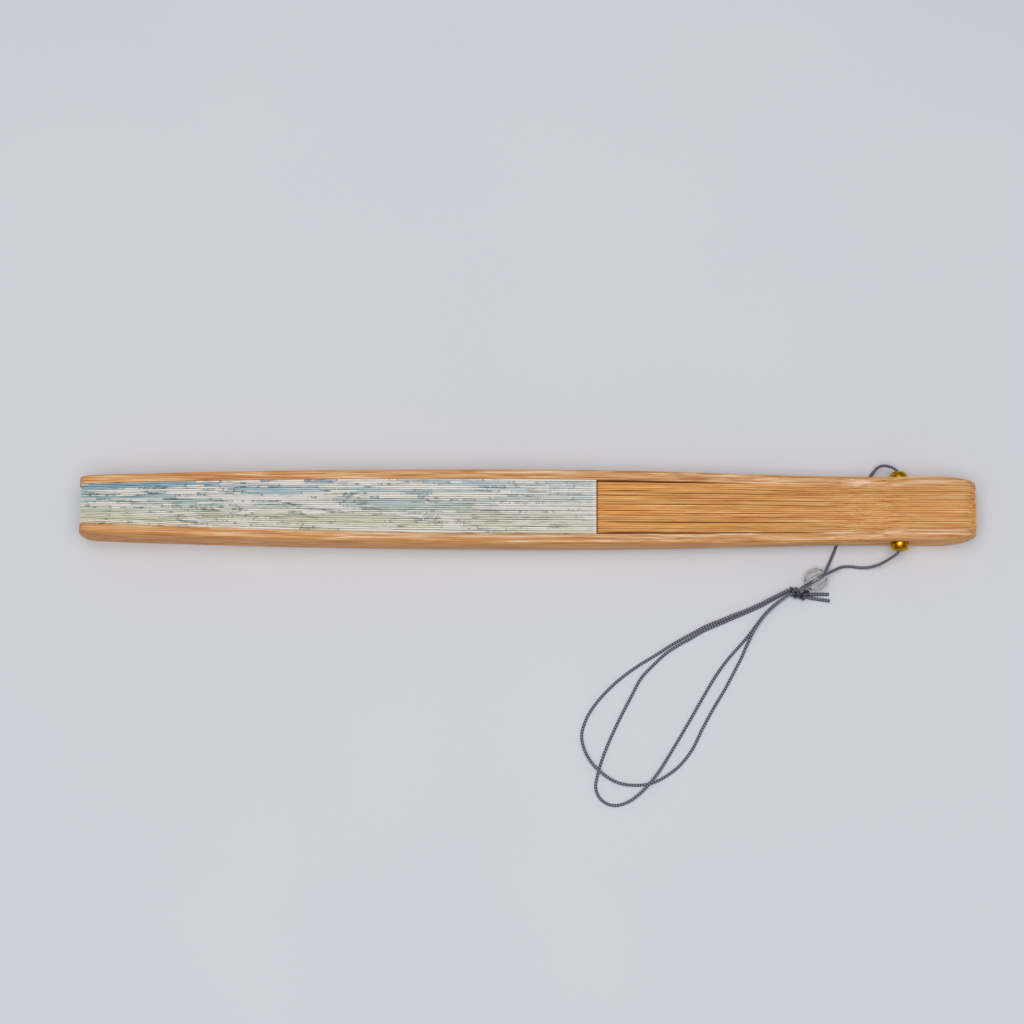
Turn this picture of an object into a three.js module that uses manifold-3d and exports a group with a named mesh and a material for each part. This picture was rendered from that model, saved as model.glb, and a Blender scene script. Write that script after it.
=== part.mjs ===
// A folding fan, closed and lying on the long edges of its two guards.
// Millimetres, +Z up. The blade points to -X, the head to +X, and the pivot runs along Y.
// Every stick and pleat is described by u, the distance from the pivot towards the tip.

import * as THREE from 'three';
import { mergeVertices } from 'three/addons/utils/BufferGeometryUtils.js';
import Module from 'manifold-3d';

const wasm = await Module();
wasm.setup();

// Lengths along the fan, from the pivot
const TIP_REACH = 206.5;        // to the tips of the guards
const HEAD_REACH = 19;          // to the end of the head
const LEAF_START = 76.9;        // to the inner edge of the leaf
const LEAF_INSET = 0.5;         // the leaf ends this far short of the guards' tips
const BLADE_INSET = 16;         // the ribs end this far short of the leaf's outer edge
const SHOULDER_LENGTH = 2.5;    // a rib thins to its blade over this length before the leaf
const BELLY_REACH = 95;         // to where the closed fan is thickest
const HEAD_FLAT = 2.5;          // the stack keeps its head thickness up to here
const WAIST_REACH = 22;         // to where the sticks are narrowest

// Depths of the sticks, square to the pivot
const TIP_DEPTH = 16;
const HEAD_DEPTH = 12.2;
const HEAD_CORNER = 3.5;        // corner radius at the end of the head
const TIP_CORNER = 1.5;         // corner radius at the tips of the guards
const WAIST_ARCH = 3.05;        // the long edges draw in this far at the waist
const LEAF_ARCH = 1.4;          // and this far at the inner edge of the leaf
const ARCH_RISE_START = -6;     // u where the edges start to draw in, just past the head
const ARCH_FALL_START = 90;
const ARCH_FALL_LENGTH = 100;   // from there the edges widen again over this length
const RIB_FULL_END = 30;        // ribs are as deep as the guards up to here
const RIB_RECESS = 0.6;         // at the leaf their edges lie this far inside the guards' edges
const LEAF_INNER_INSET = 0.25;  // the leaf's folds lie this far inside the guards' edges at its inner edge
const LEAF_OUTER_INSET = 0.4;   // and this far at the tip
const BLADE_MARGIN = 0.6;       // a blade's edge to the fold of its pleat, at the inner edge
const BLADE_END_DEPTH = 2.6;

// Thicknesses across the stack
const RIB_COUNT = 23;           // thin ribs between the two guards
const RIB_THICKNESS = 0.4;
const RIB_SHOULDER_THICKNESS = 0.36;
const RIB_GAP = 0.075;
const BLADE_THICKNESS = 0.12;
const BLADE_FIT = 0.035;        // clearance on each side of a blade inside its pleat, at the tip
const PAPER = 0.085;
const PLEAT_GAP = 0.05;         // between neighbouring pleats
const PLEAT_SPRING = 0.165;     // air that the paper's spring keeps in each pleat at the belly
const FOLD_DEPTH = 0.25;        // solid paper at the top of a pleat
const GUARD_THICKNESS = 2.45;
const GUARD_TIP_THICKNESS = 2.1;
const GUARD_EDGE = 0.6;         // chamfer along a guard's outer edges
const HEAD_ROUND_LENGTH = 9;    // a guard's outer face curves in over this length at the head
const HEAD_ROUND_DROP = 1.4;
const TIP_ROUND_LENGTH = 4;
const TIP_ROUND_DROP = 0.45;
const NECK_STEP = 9;            // longest straight piece of a stick between head and leaf
const STATION_STEP = 28;        // and beyond the leaf's inner edge

// Hollow pivot: a tube with a domed cap on each guard
const TUBE_RADIUS = 1.2;
const TUBE_BORE_RADIUS = 0.8;
const PIVOT_CLEARANCE = 0.08;
const CAP_RADIUS = 2.3;
const CAP_HEIGHT = 2.1;
const CAP_RIM = 0.5;            // straight part of a cap's side, next to the guard
const CAP_MOUTH_RADIUS = 1.35;
const CAP_LIP = 0.4;            // the lip that covers the end of the tube
const CAP_FIT = 0.05;
const CAP_ARC_STEPS = 4;
const PIVOT_SIDES = 20;

// Wrist cord, bead and knot
const CORD_DIAMETER = 0.8;
const CORD_SIDES = 8;
const CORD_JOINT_GAP = 0.3;     // between two stretches that meet inside the pivot
const TABLE_GAP = 0.05;         // bead and knot lie this far off the table
const BEAD_RADIUS = 3;
const BEAD_BORE_RADIUS = 1.25;
const BEAD_CENTRE = new THREE.Vector3(72.7, -17.1, BEAD_RADIUS + TABLE_GAP);
const BEAD_AXIS = new THREE.Vector3(0.85, 0.52, 0.08).normalize();
const BEAD_ARC_STEPS = 10;
const KNOT_LENGTH = 4.4;
const KNOT_RADIUS = 1.32;
const KNOT_FACE_RADIUS = 1.1;
const KNOT_ARC_STEPS = 6;
const KNOT_CENTRE = new THREE.Vector3(68.65, -20.4, KNOT_RADIUS + TABLE_GAP);
const KNOT_AXIS = new THREE.Vector3(0.97, -0.23, 0).normalize();

// Cord routes, lying on the table, listed from the pivot or from the knot
const FRONT_ROUTE = [
  [93.53, -10.12, 6.16], [93.12, -10.75, 5.92], [92.4, -11.3, 5.42], [91.5, -11.82, 4.8],
  [90.3, -12.5, 3.85], [88.3, -13.3, 2.4], [86, -13.68, 1.2], [83.8, -13.6, 0.6], [81.8, -13.35, 0.55],
  [79.9, -13.5, 1.05], [78.1, -14.25, 2.15], [76.6, -15.1, 3.2], [75.1, -15.85, 3.66],
  [72.78, -17.23, 3.47], [70.5, -18.62, 3.22], [69.5, -19.25, 2.78],
];
const BACK_ROUTE = [
  [93.53, 10.12, 6.24], [93.1, 10.75, 6.13], [92.4, 11.28, 5.87], [91.45, 11.72, 5.45],
  [90.55, 11.97, 5], [89.75, 12, 4.5], [89, 11.78, 3.9], [88.3, 11.25, 3.15], [87.6, 10.4, 2.25],
  [86.95, 9.4, 1.35], [86.3, 8.3, 0.75], [85.55, 7, 0.47], [84.2, 4.25, 0.45], [82.55, 0.75, 0.45],
  [80.85, -2.75, 0.45], [79.3, -5.95, 0.45], [78.35, -8, 0.5], [77.55, -9.9, 0.85], [76.7, -11.8, 1.55],
  [75.95, -13.45, 2.25], [75.3, -14.75, 2.65], [74.4, -15.85, 2.76], [72.62, -16.97, 2.63],
  [70.3, -18.39, 2.38], [69.55, -18.85, 2],
];
const LONG_LOOP_ROUTE = [
  [65.98, -19.48, 1.85], [64.5, -20.2, 1.65], [62.65, -21.1, 1.45], [59.05, -22.9, 1.25],
  [55.4, -24.55, 1.12], [51.8, -25.95, 0.97], [48.15, -27.4, 0.75], [44.5, -28.9, 0.55],
  [40.85, -30.9, 0.46], [36.95, -33.05, 0.45], [32.25, -36.05, 0.45], [27.25, -39.15, 0.45],
  [22.25, -42.95, 0.45], [17.55, -47.75, 0.45], [14.65, -52.15, 0.45], [13.35, -56.55, 0.5],
  [14.05, -60.15, 0.8], [15.75, -63.35, 1.22], [17.75, -65.45, 1.37], [19.75, -67.05, 1.22],
  [22.55, -68.45, 0.8], [26.15, -69.05, 0.48], [30.55, -68.65, 0.45], [33.95, -67.15, 0.45],
  [37.75, -64.35, 0.45], [41.15, -60.15, 0.45], [43.75, -54.95, 0.45], [46.65, -49.65, 0.45],
  [49.55, -44.85, 0.45], [52, -40.3, 0.45], [53.75, -36.95, 0.48], [54.95, -34.2, 0.65],
  [55.95, -32.1, 1], [57.2, -29.6, 1.32], [59.05, -26.85, 1.35], [60.9, -24.8, 1.42],
  [62.75, -23.1, 1.52], [64.6, -21.62, 1.7], [65.95, -20.6, 1.85],
];
const SHORT_LOOP_ROUTE = [
  [65.98, -19.48, 0.95], [64.5, -20.42, 0.75], [62.65, -21.45, 0.6], [59.05, -23.5, 0.48],
  [55.4, -25.15, 0.45], [51.8, -26.72, 0.45], [48.15, -28.28, 0.45], [44.5, -29.87, 0.45],
  [40.85, -31.97, 0.45], [38.3, -33.38, 0.45], [34.75, -35.7, 0.45], [31.6, -38.6, 0.45],
  [28.4, -42.05, 0.45], [26.1, -46.3, 0.45], [22.85, -52.55, 0.45], [19.95, -58.85, 0.45],
  [18.25, -63.35, 0.45], [17.25, -66.95, 0.45], [16.85, -69.55, 0.45], [17.65, -71.95, 0.45],
  [19.55, -73.65, 0.45], [22.05, -74.15, 0.48], [25.05, -73.25, 0.7], [27.75, -71.35, 1.17],
  [30.35, -68.75, 1.37], [32.55, -65.95, 1.17], [34.65, -62.75, 0.7], [36.95, -58.95, 0.48],
  [40.75, -52.55, 0.45], [44.15, -46.65, 0.45], [47.3, -41.4, 0.45], [50.4, -37.15, 0.45],
  [53.4, -33.75, 0.45], [55.2, -31.7, 0.45], [57, -29.4, 0.45], [58.9, -26.85, 0.47],
  [60.75, -24.75, 0.53], [62.65, -23.05, 0.63], [64.6, -21.62, 0.8], [65.95, -20.6, 0.95],
];
const UPPER_TAIL_ROUTE = [
  [69.9, -20.6, 1.15], [71.2, -20.55, 0.75], [73.5, -20.5, 0.47], [76.2, -20.45, 0.45],
];
const LOWER_TAIL_ROUTE = [
  [69.9, -21, 1], [71.2, -21.38, 0.6], [73.6, -21.78, 0.45], [76.4, -22.15, 0.45],
];
const FRONT_STEPS = 32;
const BACK_STEPS = 44;
const LOOP_STEPS = 76;
const TAIL_STEPS = 5;

// Sizes that follow from the ones above
const LEAF_END = TIP_REACH - LEAF_INSET;
const BLADE_END = LEAF_END - BLADE_INSET;
const SHOULDER = LEAF_START - SHOULDER_LENGTH;
const ARCH_FALL_END = ARCH_FALL_START + ARCH_FALL_LENGTH;
const PLEAT_COUNT = RIB_COUNT + 1;
const TIP_PITCH = 2 * (PAPER + BLADE_FIT) + BLADE_THICKNESS + PLEAT_GAP;
const HEAD_STACK = RIB_COUNT * (RIB_THICKNESS + RIB_GAP) + RIB_GAP;
const TIP_STACK = PLEAT_COUNT * TIP_PITCH + PAPER + 2 * PLEAT_GAP;
const BELLY_STACK = TIP_STACK + PLEAT_COUNT * PLEAT_SPRING;
const PIVOT_X = (TIP_REACH - HEAD_REACH) / 2;
const PIVOT_Z = centreHeight(0);
const CAP_BASE = HEAD_STACK / 2 + GUARD_THICKNESS + CAP_FIT;

const bamboo = material(0xd8a763, 0.6);
const paleBamboo = material(0xe3bb80, 0.55);
const paper = material(0xdfe6dc, 0.85);
const brass = material(0xc9992e, 0.3, 1);
const cordGrey = material(0x5c5c68, 0.9);
const clearBead = material(0xe8ecf0, 0.1);

function material(color, roughness, metalness = 0) {
  return new THREE.MeshStandardMaterial({ color, roughness, metalness });
}

function smooth(t) {
  return THREE.MathUtils.smoothstep(t, 0, 1);
}

// Shape of the sticks, as functions of u

// Height of the sticks' middle line above the table
function centreHeight(u) {
  const share = (u + HEAD_REACH) / (TIP_REACH + HEAD_REACH);
  return THREE.MathUtils.lerp(HEAD_DEPTH / 2, TIP_DEPTH / 2, share);
}

// How far the long edges draw in: most at the waist, less along the leaf, not at all at the ends
function arch(u) {
  const waist = smooth((u - ARCH_RISE_START) / (WAIST_REACH - ARCH_RISE_START));
  const leaf = smooth((u - WAIST_REACH) / (LEAF_START - WAIST_REACH));
  const tip = smooth((u - ARCH_FALL_START) / ARCH_FALL_LENGTH);
  return WAIST_ARCH * waist - (WAIST_ARCH - LEAF_ARCH) * leaf - LEAF_ARCH * tip;
}

// What a rounded corner takes off at a distance from the end
function cornerDrop(radius, distance) {
  const run = Math.max(0, radius - distance);
  return radius - Math.sqrt(radius ** 2 - run ** 2);
}

function guardHalfDepth(u) {
  const corners = cornerDrop(HEAD_CORNER, u + HEAD_REACH) + cornerDrop(TIP_CORNER, TIP_REACH - u);
  return centreHeight(u) - arch(u) - corners;
}

// The leaf's folds are straight and spread towards the tip
function leafHalfDepth(u) {
  const inner = guardHalfDepth(LEAF_START) - LEAF_INNER_INSET;
  const outer = TIP_DEPTH / 2 - LEAF_OUTER_INSET;
  return THREE.MathUtils.lerp(inner, outer, (u - LEAF_START) / (LEAF_END - LEAF_START));
}

function ribHalfDepth(u) {
  const bladeStart = leafHalfDepth(LEAF_START) - BLADE_MARGIN;
  if (u >= LEAF_START) {
    const share = (u - LEAF_START) / (BLADE_END - LEAF_START);
    return THREE.MathUtils.lerp(bladeStart, BLADE_END_DEPTH / 2, share);
  }
  const recess = RIB_RECESS * smooth((u - RIB_FULL_END) / (SHOULDER - RIB_FULL_END));
  const share = Math.max(0, (u - SHOULDER) / SHOULDER_LENGTH);
  return THREE.MathUtils.lerp(guardHalfDepth(u) - recess, bladeStart, share);
}

// Half of the distance between the guards' inner faces
function halfStack(u) {
  if (u < BELLY_REACH) {
    const share = Math.max(0, (u - HEAD_FLAT) / (BELLY_REACH - HEAD_FLAT));
    return THREE.MathUtils.lerp(HEAD_STACK, BELLY_STACK, Math.sin(share * Math.PI / 2)) / 2;
  }
  const share = (u - BELLY_REACH) / (TIP_REACH - BELLY_REACH);
  return THREE.MathUtils.lerp(BELLY_STACK, TIP_STACK, share ** 2) / 2;
}

function pleatPitch(u) {
  return (2 * halfStack(u) - PAPER - 2 * PLEAT_GAP) / PLEAT_COUNT;
}

// The face of pleat k that is towards the back guard
function pleatBack(k, u) {
  return halfStack(u) - PLEAT_GAP - k * pleatPitch(u);
}

// Ribs fill the stack at the head; at the leaf their front faces run into the middles of their pleats
function ribMiddle(k, u) {
  const atHead = halfStack(u) * (1 - (2 * k - 1) / RIB_COUNT);
  const pleatMiddle = pleatBack(k, u) - (pleatPitch(u) - PLEAT_GAP) / 2;
  const atLeaf = pleatMiddle + (ribThickness(u) - BLADE_THICKNESS) / 2;
  return THREE.MathUtils.lerp(atHead, atLeaf, smooth((u - RIB_FULL_END) / (SHOULDER - RIB_FULL_END)));
}

function ribThickness(u) {
  if (u <= SHOULDER) {
    const share = Math.max(0, (u - HEAD_FLAT) / (SHOULDER - HEAD_FLAT));
    return THREE.MathUtils.lerp(RIB_THICKNESS, RIB_SHOULDER_THICKNESS, share);
  }
  const share = Math.min(1, (u - SHOULDER) / SHOULDER_LENGTH);
  return THREE.MathUtils.lerp(RIB_SHOULDER_THICKNESS, BLADE_THICKNESS, share);
}

function guardThickness(u) {
  const taper = Math.max(0, (u - BELLY_REACH) / (TIP_REACH - BELLY_REACH));
  const full = THREE.MathUtils.lerp(GUARD_THICKNESS, GUARD_TIP_THICKNESS, taper);
  const atHead = Math.max(0, 1 - (u + HEAD_REACH) / HEAD_ROUND_LENGTH);
  const atTip = Math.max(0, 1 - (TIP_REACH - u) / TIP_ROUND_LENGTH);
  return full - HEAD_ROUND_DROP * atHead ** 2 - TIP_ROUND_DROP * atTip ** 2;
}

// All sticks and pleats share these stations, so that their bowed faces stay nested
const STATIONS = stations([
  -HEAD_REACH, -HEAD_REACH + HEAD_CORNER / 4, -HEAD_REACH + HEAD_CORNER, HEAD_ROUND_LENGTH - HEAD_REACH,
  ARCH_RISE_START, HEAD_FLAT, WAIST_REACH, RIB_FULL_END, SHOULDER, LEAF_START, ARCH_FALL_START,
  ARCH_FALL_END, BLADE_END, TIP_REACH - TIP_ROUND_LENGTH, TIP_REACH - TIP_CORNER, LEAF_END,
  TIP_REACH - TIP_CORNER / 8, TIP_REACH,
]);

function stations(breaks) {
  const onStick = breaks.filter((u) => u <= TIP_REACH);
  const sorted = [...new Set(onStick)].sort((a, b) => a - b);
  const list = [sorted[0]];
  for (const end of sorted.slice(1)) {
    const start = list.at(-1);
    const count = Math.ceil((end - start) / (end > LEAF_START ? STATION_STEP : NECK_STEP));
    for (let i = 1; i <= count; i++) {
      list.push(THREE.MathUtils.lerp(start, end, i / count));
    }
  }
  return list;
}

function stationsBetween(start, end) {
  return STATIONS.filter((u) => u >= start && u <= end);
}

// A closed body through one ring of [y, z] points at each station
function loft(us, ringAt) {
  const rings = us.map(ringAt);
  const size = rings[0].length;
  const positions = rings.flatMap((ring, i) => ring.flatMap(([y, z]) => [-us[i], y, z]));
  const index = [];
  for (let i = 0; i + 1 < rings.length; i++) {
    for (let j = 0; j < size; j++) {
      const a = i * size + j;
      const b = i * size + (j + 1) % size;
      index.push(a, b, b + size, a, b + size, a + size);
    }
  }
  const last = (rings.length - 1) * size;
  index.push(...capFaces(rings[0], 0, true), ...capFaces(rings.at(-1), last, false));
  const geometry = new THREE.BufferGeometry();
  geometry.setAttribute('position', new THREE.Float32BufferAttribute(positions, 3));
  geometry.setIndex(index);
  return outward(geometry);
}

function capFaces(ring, offset, flip) {
  const points = ring.map(([y, z]) => new THREE.Vector2(y, z));
  const reversed = THREE.ShapeUtils.isClockWise(points);
  const faces = THREE.ShapeUtils.triangulateShape(reversed ? points.toReversed() : points, []);
  const place = (i) => offset + (reversed ? ring.length - 1 - i : i);
  return faces.flatMap(([a, b, c]) => (flip !== reversed ? [a, c, b] : [a, b, c]).map(place));
}

// Turns all faces round if the body is inside out
function outward(geometry) {
  const body = geometry.index ? geometry : mergeVertices(geometry);
  const points = body.attributes.position;
  const index = body.index.array;
  const corners = [new THREE.Vector3(), new THREE.Vector3(), new THREE.Vector3()];
  let volume = 0;
  for (let i = 0; i < index.length; i += 3) {
    corners.forEach((corner, j) => corner.fromBufferAttribute(points, index[i + j]));
    volume += corners[0].dot(corners[1].clone().cross(corners[2]));
  }
  if (volume < 0) {
    for (let i = 0; i < index.length; i += 3) {
      [index[i], index[i + 1]] = [index[i + 1], index[i]];
    }
  }
  return body;
}

// Cutting and joining

function toSolid(geometry) {
  const bare = geometry.clone();
  bare.deleteAttribute('normal');
  bare.deleteAttribute('uv');
  const merged = mergeVertices(bare);
  return new wasm.Manifold(new wasm.Mesh({
    numProp: 3,
    vertProperties: new Float32Array(merged.attributes.position.array),
    triVerts: new Uint32Array(merged.index.array),
  }));
}

function toGeometry(solid) {
  const mesh = solid.getMesh();
  const geometry = new THREE.BufferGeometry();
  geometry.setAttribute('position', new THREE.Float32BufferAttribute(mesh.vertProperties, 3));
  geometry.setIndex(Array.from(mesh.triVerts));
  return geometry;
}

function withPivotHole(geometry) {
  const radius = (TUBE_RADIUS + PIVOT_CLEARANCE) / Math.cos(Math.PI / PIVOT_SIDES);
  const reach = 2 * (HEAD_STACK + 2 * GUARD_THICKNESS);
  const drill = new THREE.CylinderGeometry(radius, radius, reach, PIVOT_SIDES);
  return toGeometry(toSolid(geometry).subtract(toSolid(drill)));
}

// Sub-parts of the fan, around the pivot

function heightRange(u, halfDepth) {
  const middle = centreHeight(u) - PIVOT_Z;
  return [middle - halfDepth, middle + halfDepth];
}

function guardGeometry(side) {
  const ringAt = (u) => {
    const [low, high] = heightRange(u, guardHalfDepth(u));
    const inner = halfStack(u);
    const outer = inner + guardThickness(u);
    const edge = Math.min(GUARD_EDGE, guardThickness(u) / 3);
    return [
      [side * inner, low], [side * (outer - edge), low], [side * outer, low + edge],
      [side * outer, high - edge], [side * (outer - edge), high], [side * inner, high],
    ];
  };
  return withPivotHole(loft(STATIONS, ringAt));
}

function ribGeometry(k) {
  const ringAt = (u) => {
    const [low, high] = heightRange(u, ribHalfDepth(u));
    const back = ribMiddle(k, u) + ribThickness(u) / 2;
    const front = back - ribThickness(u);
    return [[front, low], [back, low], [back, high], [front, high]];
  };
  return withPivotHole(loft(stationsBetween(-HEAD_REACH, BLADE_END), ringAt));
}

// Two walls of paper joined along the top fold, open below, with the rib's blade between them
function pleatGeometry(k) {
  const ringAt = (u) => {
    const [low, high] = heightRange(u, leafHalfDepth(u));
    const back = pleatBack(k, u);
    const front = back - pleatPitch(u) + PLEAT_GAP;
    const fold = high - FOLD_DEPTH;
    return [
      [back, low], [back, high], [front, high], [front, low],
      [front + PAPER, low], [front + PAPER, fold], [back - PAPER, fold], [back - PAPER, low],
    ];
  };
  return loft(stationsBetween(LEAF_START, LEAF_END), ringAt);
}

function endPanelGeometry() {
  const ringAt = (u) => {
    const [low, high] = heightRange(u, leafHalfDepth(u));
    const back = pleatBack(PLEAT_COUNT, u);
    return [[back, low], [back, high], [back - PAPER, high], [back - PAPER, low]];
  };
  return loft(stationsBetween(LEAF_START, LEAF_END), ringAt);
}

function lathe(profile, sides) {
  const points = [...profile, profile[0]].map(([radius, height]) => new THREE.Vector2(radius, height));
  const geometry = new THREE.LatheGeometry(points, sides);
  geometry.deleteAttribute('normal');
  geometry.deleteAttribute('uv');
  return outward(mergeVertices(geometry));
}

function tubeGeometry() {
  const half = CAP_BASE + CAP_HEIGHT - CAP_LIP - CAP_FIT;
  const profile = [
    [TUBE_BORE_RADIUS, -half], [TUBE_RADIUS, -half], [TUBE_RADIUS, half], [TUBE_BORE_RADIUS, half],
  ];
  return lathe(profile, PIVOT_SIDES);
}

// Profile from the guard outwards: flat base, straight rim, dome, mouth and inner lip
function capGeometry() {
  const seat = TUBE_RADIUS + CAP_FIT;
  const dome = new THREE.QuadraticBezierCurve(
    new THREE.Vector2(CAP_RADIUS, CAP_RIM),
    new THREE.Vector2(CAP_RADIUS, CAP_HEIGHT),
    new THREE.Vector2(CAP_MOUTH_RADIUS, CAP_HEIGHT),
  ).getPoints(CAP_ARC_STEPS);
  const profile = [
    [seat, 0], [CAP_RADIUS, 0], ...dome.map((p) => [p.x, p.y]),
    [TUBE_BORE_RADIUS, CAP_HEIGHT], [TUBE_BORE_RADIUS, CAP_HEIGHT - CAP_LIP], [seat, CAP_HEIGHT - CAP_LIP],
  ];
  return lathe(profile, PIVOT_SIDES);
}

// Cord, bead and knot

function cordGeometry(points, steps) {
  const section = new THREE.Shape();
  for (let i = 0; i < CORD_SIDES; i++) {
    const angle = 2 * Math.PI * i / CORD_SIDES;
    const place = [Math.cos(angle) * CORD_DIAMETER / 2, Math.sin(angle) * CORD_DIAMETER / 2];
    if (i === 0) {
      section.moveTo(...place);
    } else {
      section.lineTo(...place);
    }
  }
  const path = new THREE.CatmullRomCurve3(points, false, 'centripetal');
  return new THREE.ExtrudeGeometry(section, { steps, extrudePath: path, bevelEnabled: false });
}

function routePoints(route) {
  return route.map((point) => new THREE.Vector3(...point));
}

// A stretch that starts in the middle of the pivot and leaves through one cap's mouth
function pivotCordPoints(side, route) {
  const start = [CORD_JOINT_GAP / 2, CAP_BASE / 2, CAP_BASE + CAP_HEIGHT / 3];
  const inside = start.map((distance) => new THREE.Vector3(PIVOT_X, side * distance, PIVOT_Z));
  return [...inside, ...routePoints(route)];
}

function beadGeometry() {
  const limit = Math.acos(BEAD_BORE_RADIUS / BEAD_RADIUS);
  const profile = [];
  for (let i = 0; i <= BEAD_ARC_STEPS; i++) {
    const angle = THREE.MathUtils.lerp(-limit, limit, i / BEAD_ARC_STEPS);
    profile.push([Math.cos(angle) * BEAD_RADIUS, Math.sin(angle) * BEAD_RADIUS]);
  }
  return lathe(profile, PIVOT_SIDES);
}

// A round lump with flat faces where the strands meet it, and two tails
function knotGeometry() {
  const half = KNOT_LENGTH / 2;
  const outline = new THREE.QuadraticBezierCurve(
    new THREE.Vector2(KNOT_FACE_RADIUS, -half),
    new THREE.Vector2(2 * KNOT_RADIUS - KNOT_FACE_RADIUS, 0),
    new THREE.Vector2(KNOT_FACE_RADIUS, half),
  ).getPoints(KNOT_ARC_STEPS).map((p) => [p.x, p.y]);
  const lump = lathe([[0, -half], ...outline, [0, half]], PIVOT_SIDES);
  lump.applyQuaternion(new THREE.Quaternion().setFromUnitVectors(new THREE.Vector3(0, 1, 0), KNOT_AXIS));
  lump.translate(...KNOT_CENTRE.toArray());
  const routes = [UPPER_TAIL_ROUTE, LOWER_TAIL_ROUTE];
  const tails = routes.map((route) => toSolid(cordGeometry(routePoints(route), TAIL_STEPS)));
  return toGeometry(tails.reduce((solid, tail) => solid.add(tail), toSolid(lump)));
}

// The scene graph

function add(group, name, geometry, finish) {
  const mesh = new THREE.Mesh(geometry, finish);
  mesh.name = name;
  group.add(mesh);
  return mesh;
}

function numbered(name, k) {
  return `${name}_${String(k).padStart(2, '0')}`;
}

const folding = new THREE.Group();
folding.position.set(PIVOT_X, 0, PIVOT_Z);
add(folding, 'guard_back', guardGeometry(1), paleBamboo);
add(folding, 'guard_front', guardGeometry(-1), paleBamboo);
for (let k = 1; k <= RIB_COUNT; k++) {
  add(folding, numbered('rib', k), ribGeometry(k), bamboo);
}
for (let k = 0; k < PLEAT_COUNT; k++) {
  add(folding, numbered('leaf_pleat', k), pleatGeometry(k), paper);
}
add(folding, 'leaf_end_panel', endPanelGeometry(), paper);
add(folding, 'pivot_tube', tubeGeometry(), brass);
add(folding, 'pivot_cap_back', capGeometry(), brass).position.y = CAP_BASE;
const frontCap = add(folding, 'pivot_cap_front', capGeometry(), brass);
frontCap.position.y = -CAP_BASE;
frontCap.rotation.x = Math.PI;

const strap = new THREE.Group();
add(strap, 'cord_front', cordGeometry(pivotCordPoints(-1, FRONT_ROUTE), FRONT_STEPS), cordGrey);
add(strap, 'cord_back', cordGeometry(pivotCordPoints(1, BACK_ROUTE), BACK_STEPS), cordGrey);
add(strap, 'cord_loop_long', cordGeometry(routePoints(LONG_LOOP_ROUTE), LOOP_STEPS), cordGrey);
add(strap, 'cord_loop_short', cordGeometry(routePoints(SHORT_LOOP_ROUTE), LOOP_STEPS), cordGrey);
add(strap, 'cord_knot', knotGeometry(), cordGrey);
const bead = add(strap, 'bead', beadGeometry(), clearBead);
bead.position.copy(BEAD_CENTRE);
bead.quaternion.setFromUnitVectors(new THREE.Vector3(0, 1, 0), BEAD_AXIS);

const fan = new THREE.Group();
fan.name = 'folding_fan';
fan.add(folding, strap);

export default fan;
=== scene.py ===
import math
import random

import bmesh
import bpy
import numpy as np
from mathutils import Matrix, Vector


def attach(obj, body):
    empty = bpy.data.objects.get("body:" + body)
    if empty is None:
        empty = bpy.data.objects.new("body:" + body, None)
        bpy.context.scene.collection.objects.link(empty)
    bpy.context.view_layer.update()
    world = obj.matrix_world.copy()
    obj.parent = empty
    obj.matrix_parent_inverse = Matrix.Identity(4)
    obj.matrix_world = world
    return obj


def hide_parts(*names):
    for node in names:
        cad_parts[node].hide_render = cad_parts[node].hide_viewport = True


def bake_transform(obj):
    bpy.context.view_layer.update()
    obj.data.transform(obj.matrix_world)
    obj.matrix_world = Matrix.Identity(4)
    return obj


# A closed folding fan with a wrist cord, in metres, +Z up.
# The blade points to -X, the head to +X, and the pivot runs along Y.
# Sticks and pleats are described by u, the distance from the pivot towards the tip.
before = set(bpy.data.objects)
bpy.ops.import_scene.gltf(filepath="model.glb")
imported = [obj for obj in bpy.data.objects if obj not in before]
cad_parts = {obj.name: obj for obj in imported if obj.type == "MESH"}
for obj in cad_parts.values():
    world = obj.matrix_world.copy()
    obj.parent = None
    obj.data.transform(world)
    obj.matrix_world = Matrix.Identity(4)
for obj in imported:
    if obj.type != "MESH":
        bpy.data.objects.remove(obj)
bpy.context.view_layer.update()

# Lengths along the fan, from the pivot
TIP_REACH = 0.2065
HEAD_REACH = 0.019
LEAF_START = 0.0769
LEAF_END = 0.206
BLADE_END = 0.19
SHOULDER = 0.0763
SHOULDER_LENGTH = 0.0005
BELLY_REACH = 0.095
HEAD_FLAT = 0.0025
WAIST_REACH = 0.022

# Depths of the sticks, square to the pivot
TIP_DEPTH = 0.016
HEAD_DEPTH = 0.0122
HEAD_CORNER = 0.0035
TIP_NOSE_LENGTH = 0.002  # the guards' tips are rounded over this length
TIP_NOSE_DEPTH = 0.006
TIP_NOSE_REACH = 0.0005  # and stand this far out in the middle
WAIST_ARCH = 0.00305
LEAF_ARCH = 0.0014
ARCH_RISE_START = -0.006
ARCH_FALL_START = 0.09
ARCH_FALL_LENGTH = 0.1
RIB_FULL_END = 0.03
RIB_RECESS = 0.0006
LEAF_INNER_INSET = 0.00025
LEAF_OUTER_INSET = 0.0004
BLADE_MARGIN = 0.0006
BLADE_END_DEPTH = 0.0026

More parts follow.
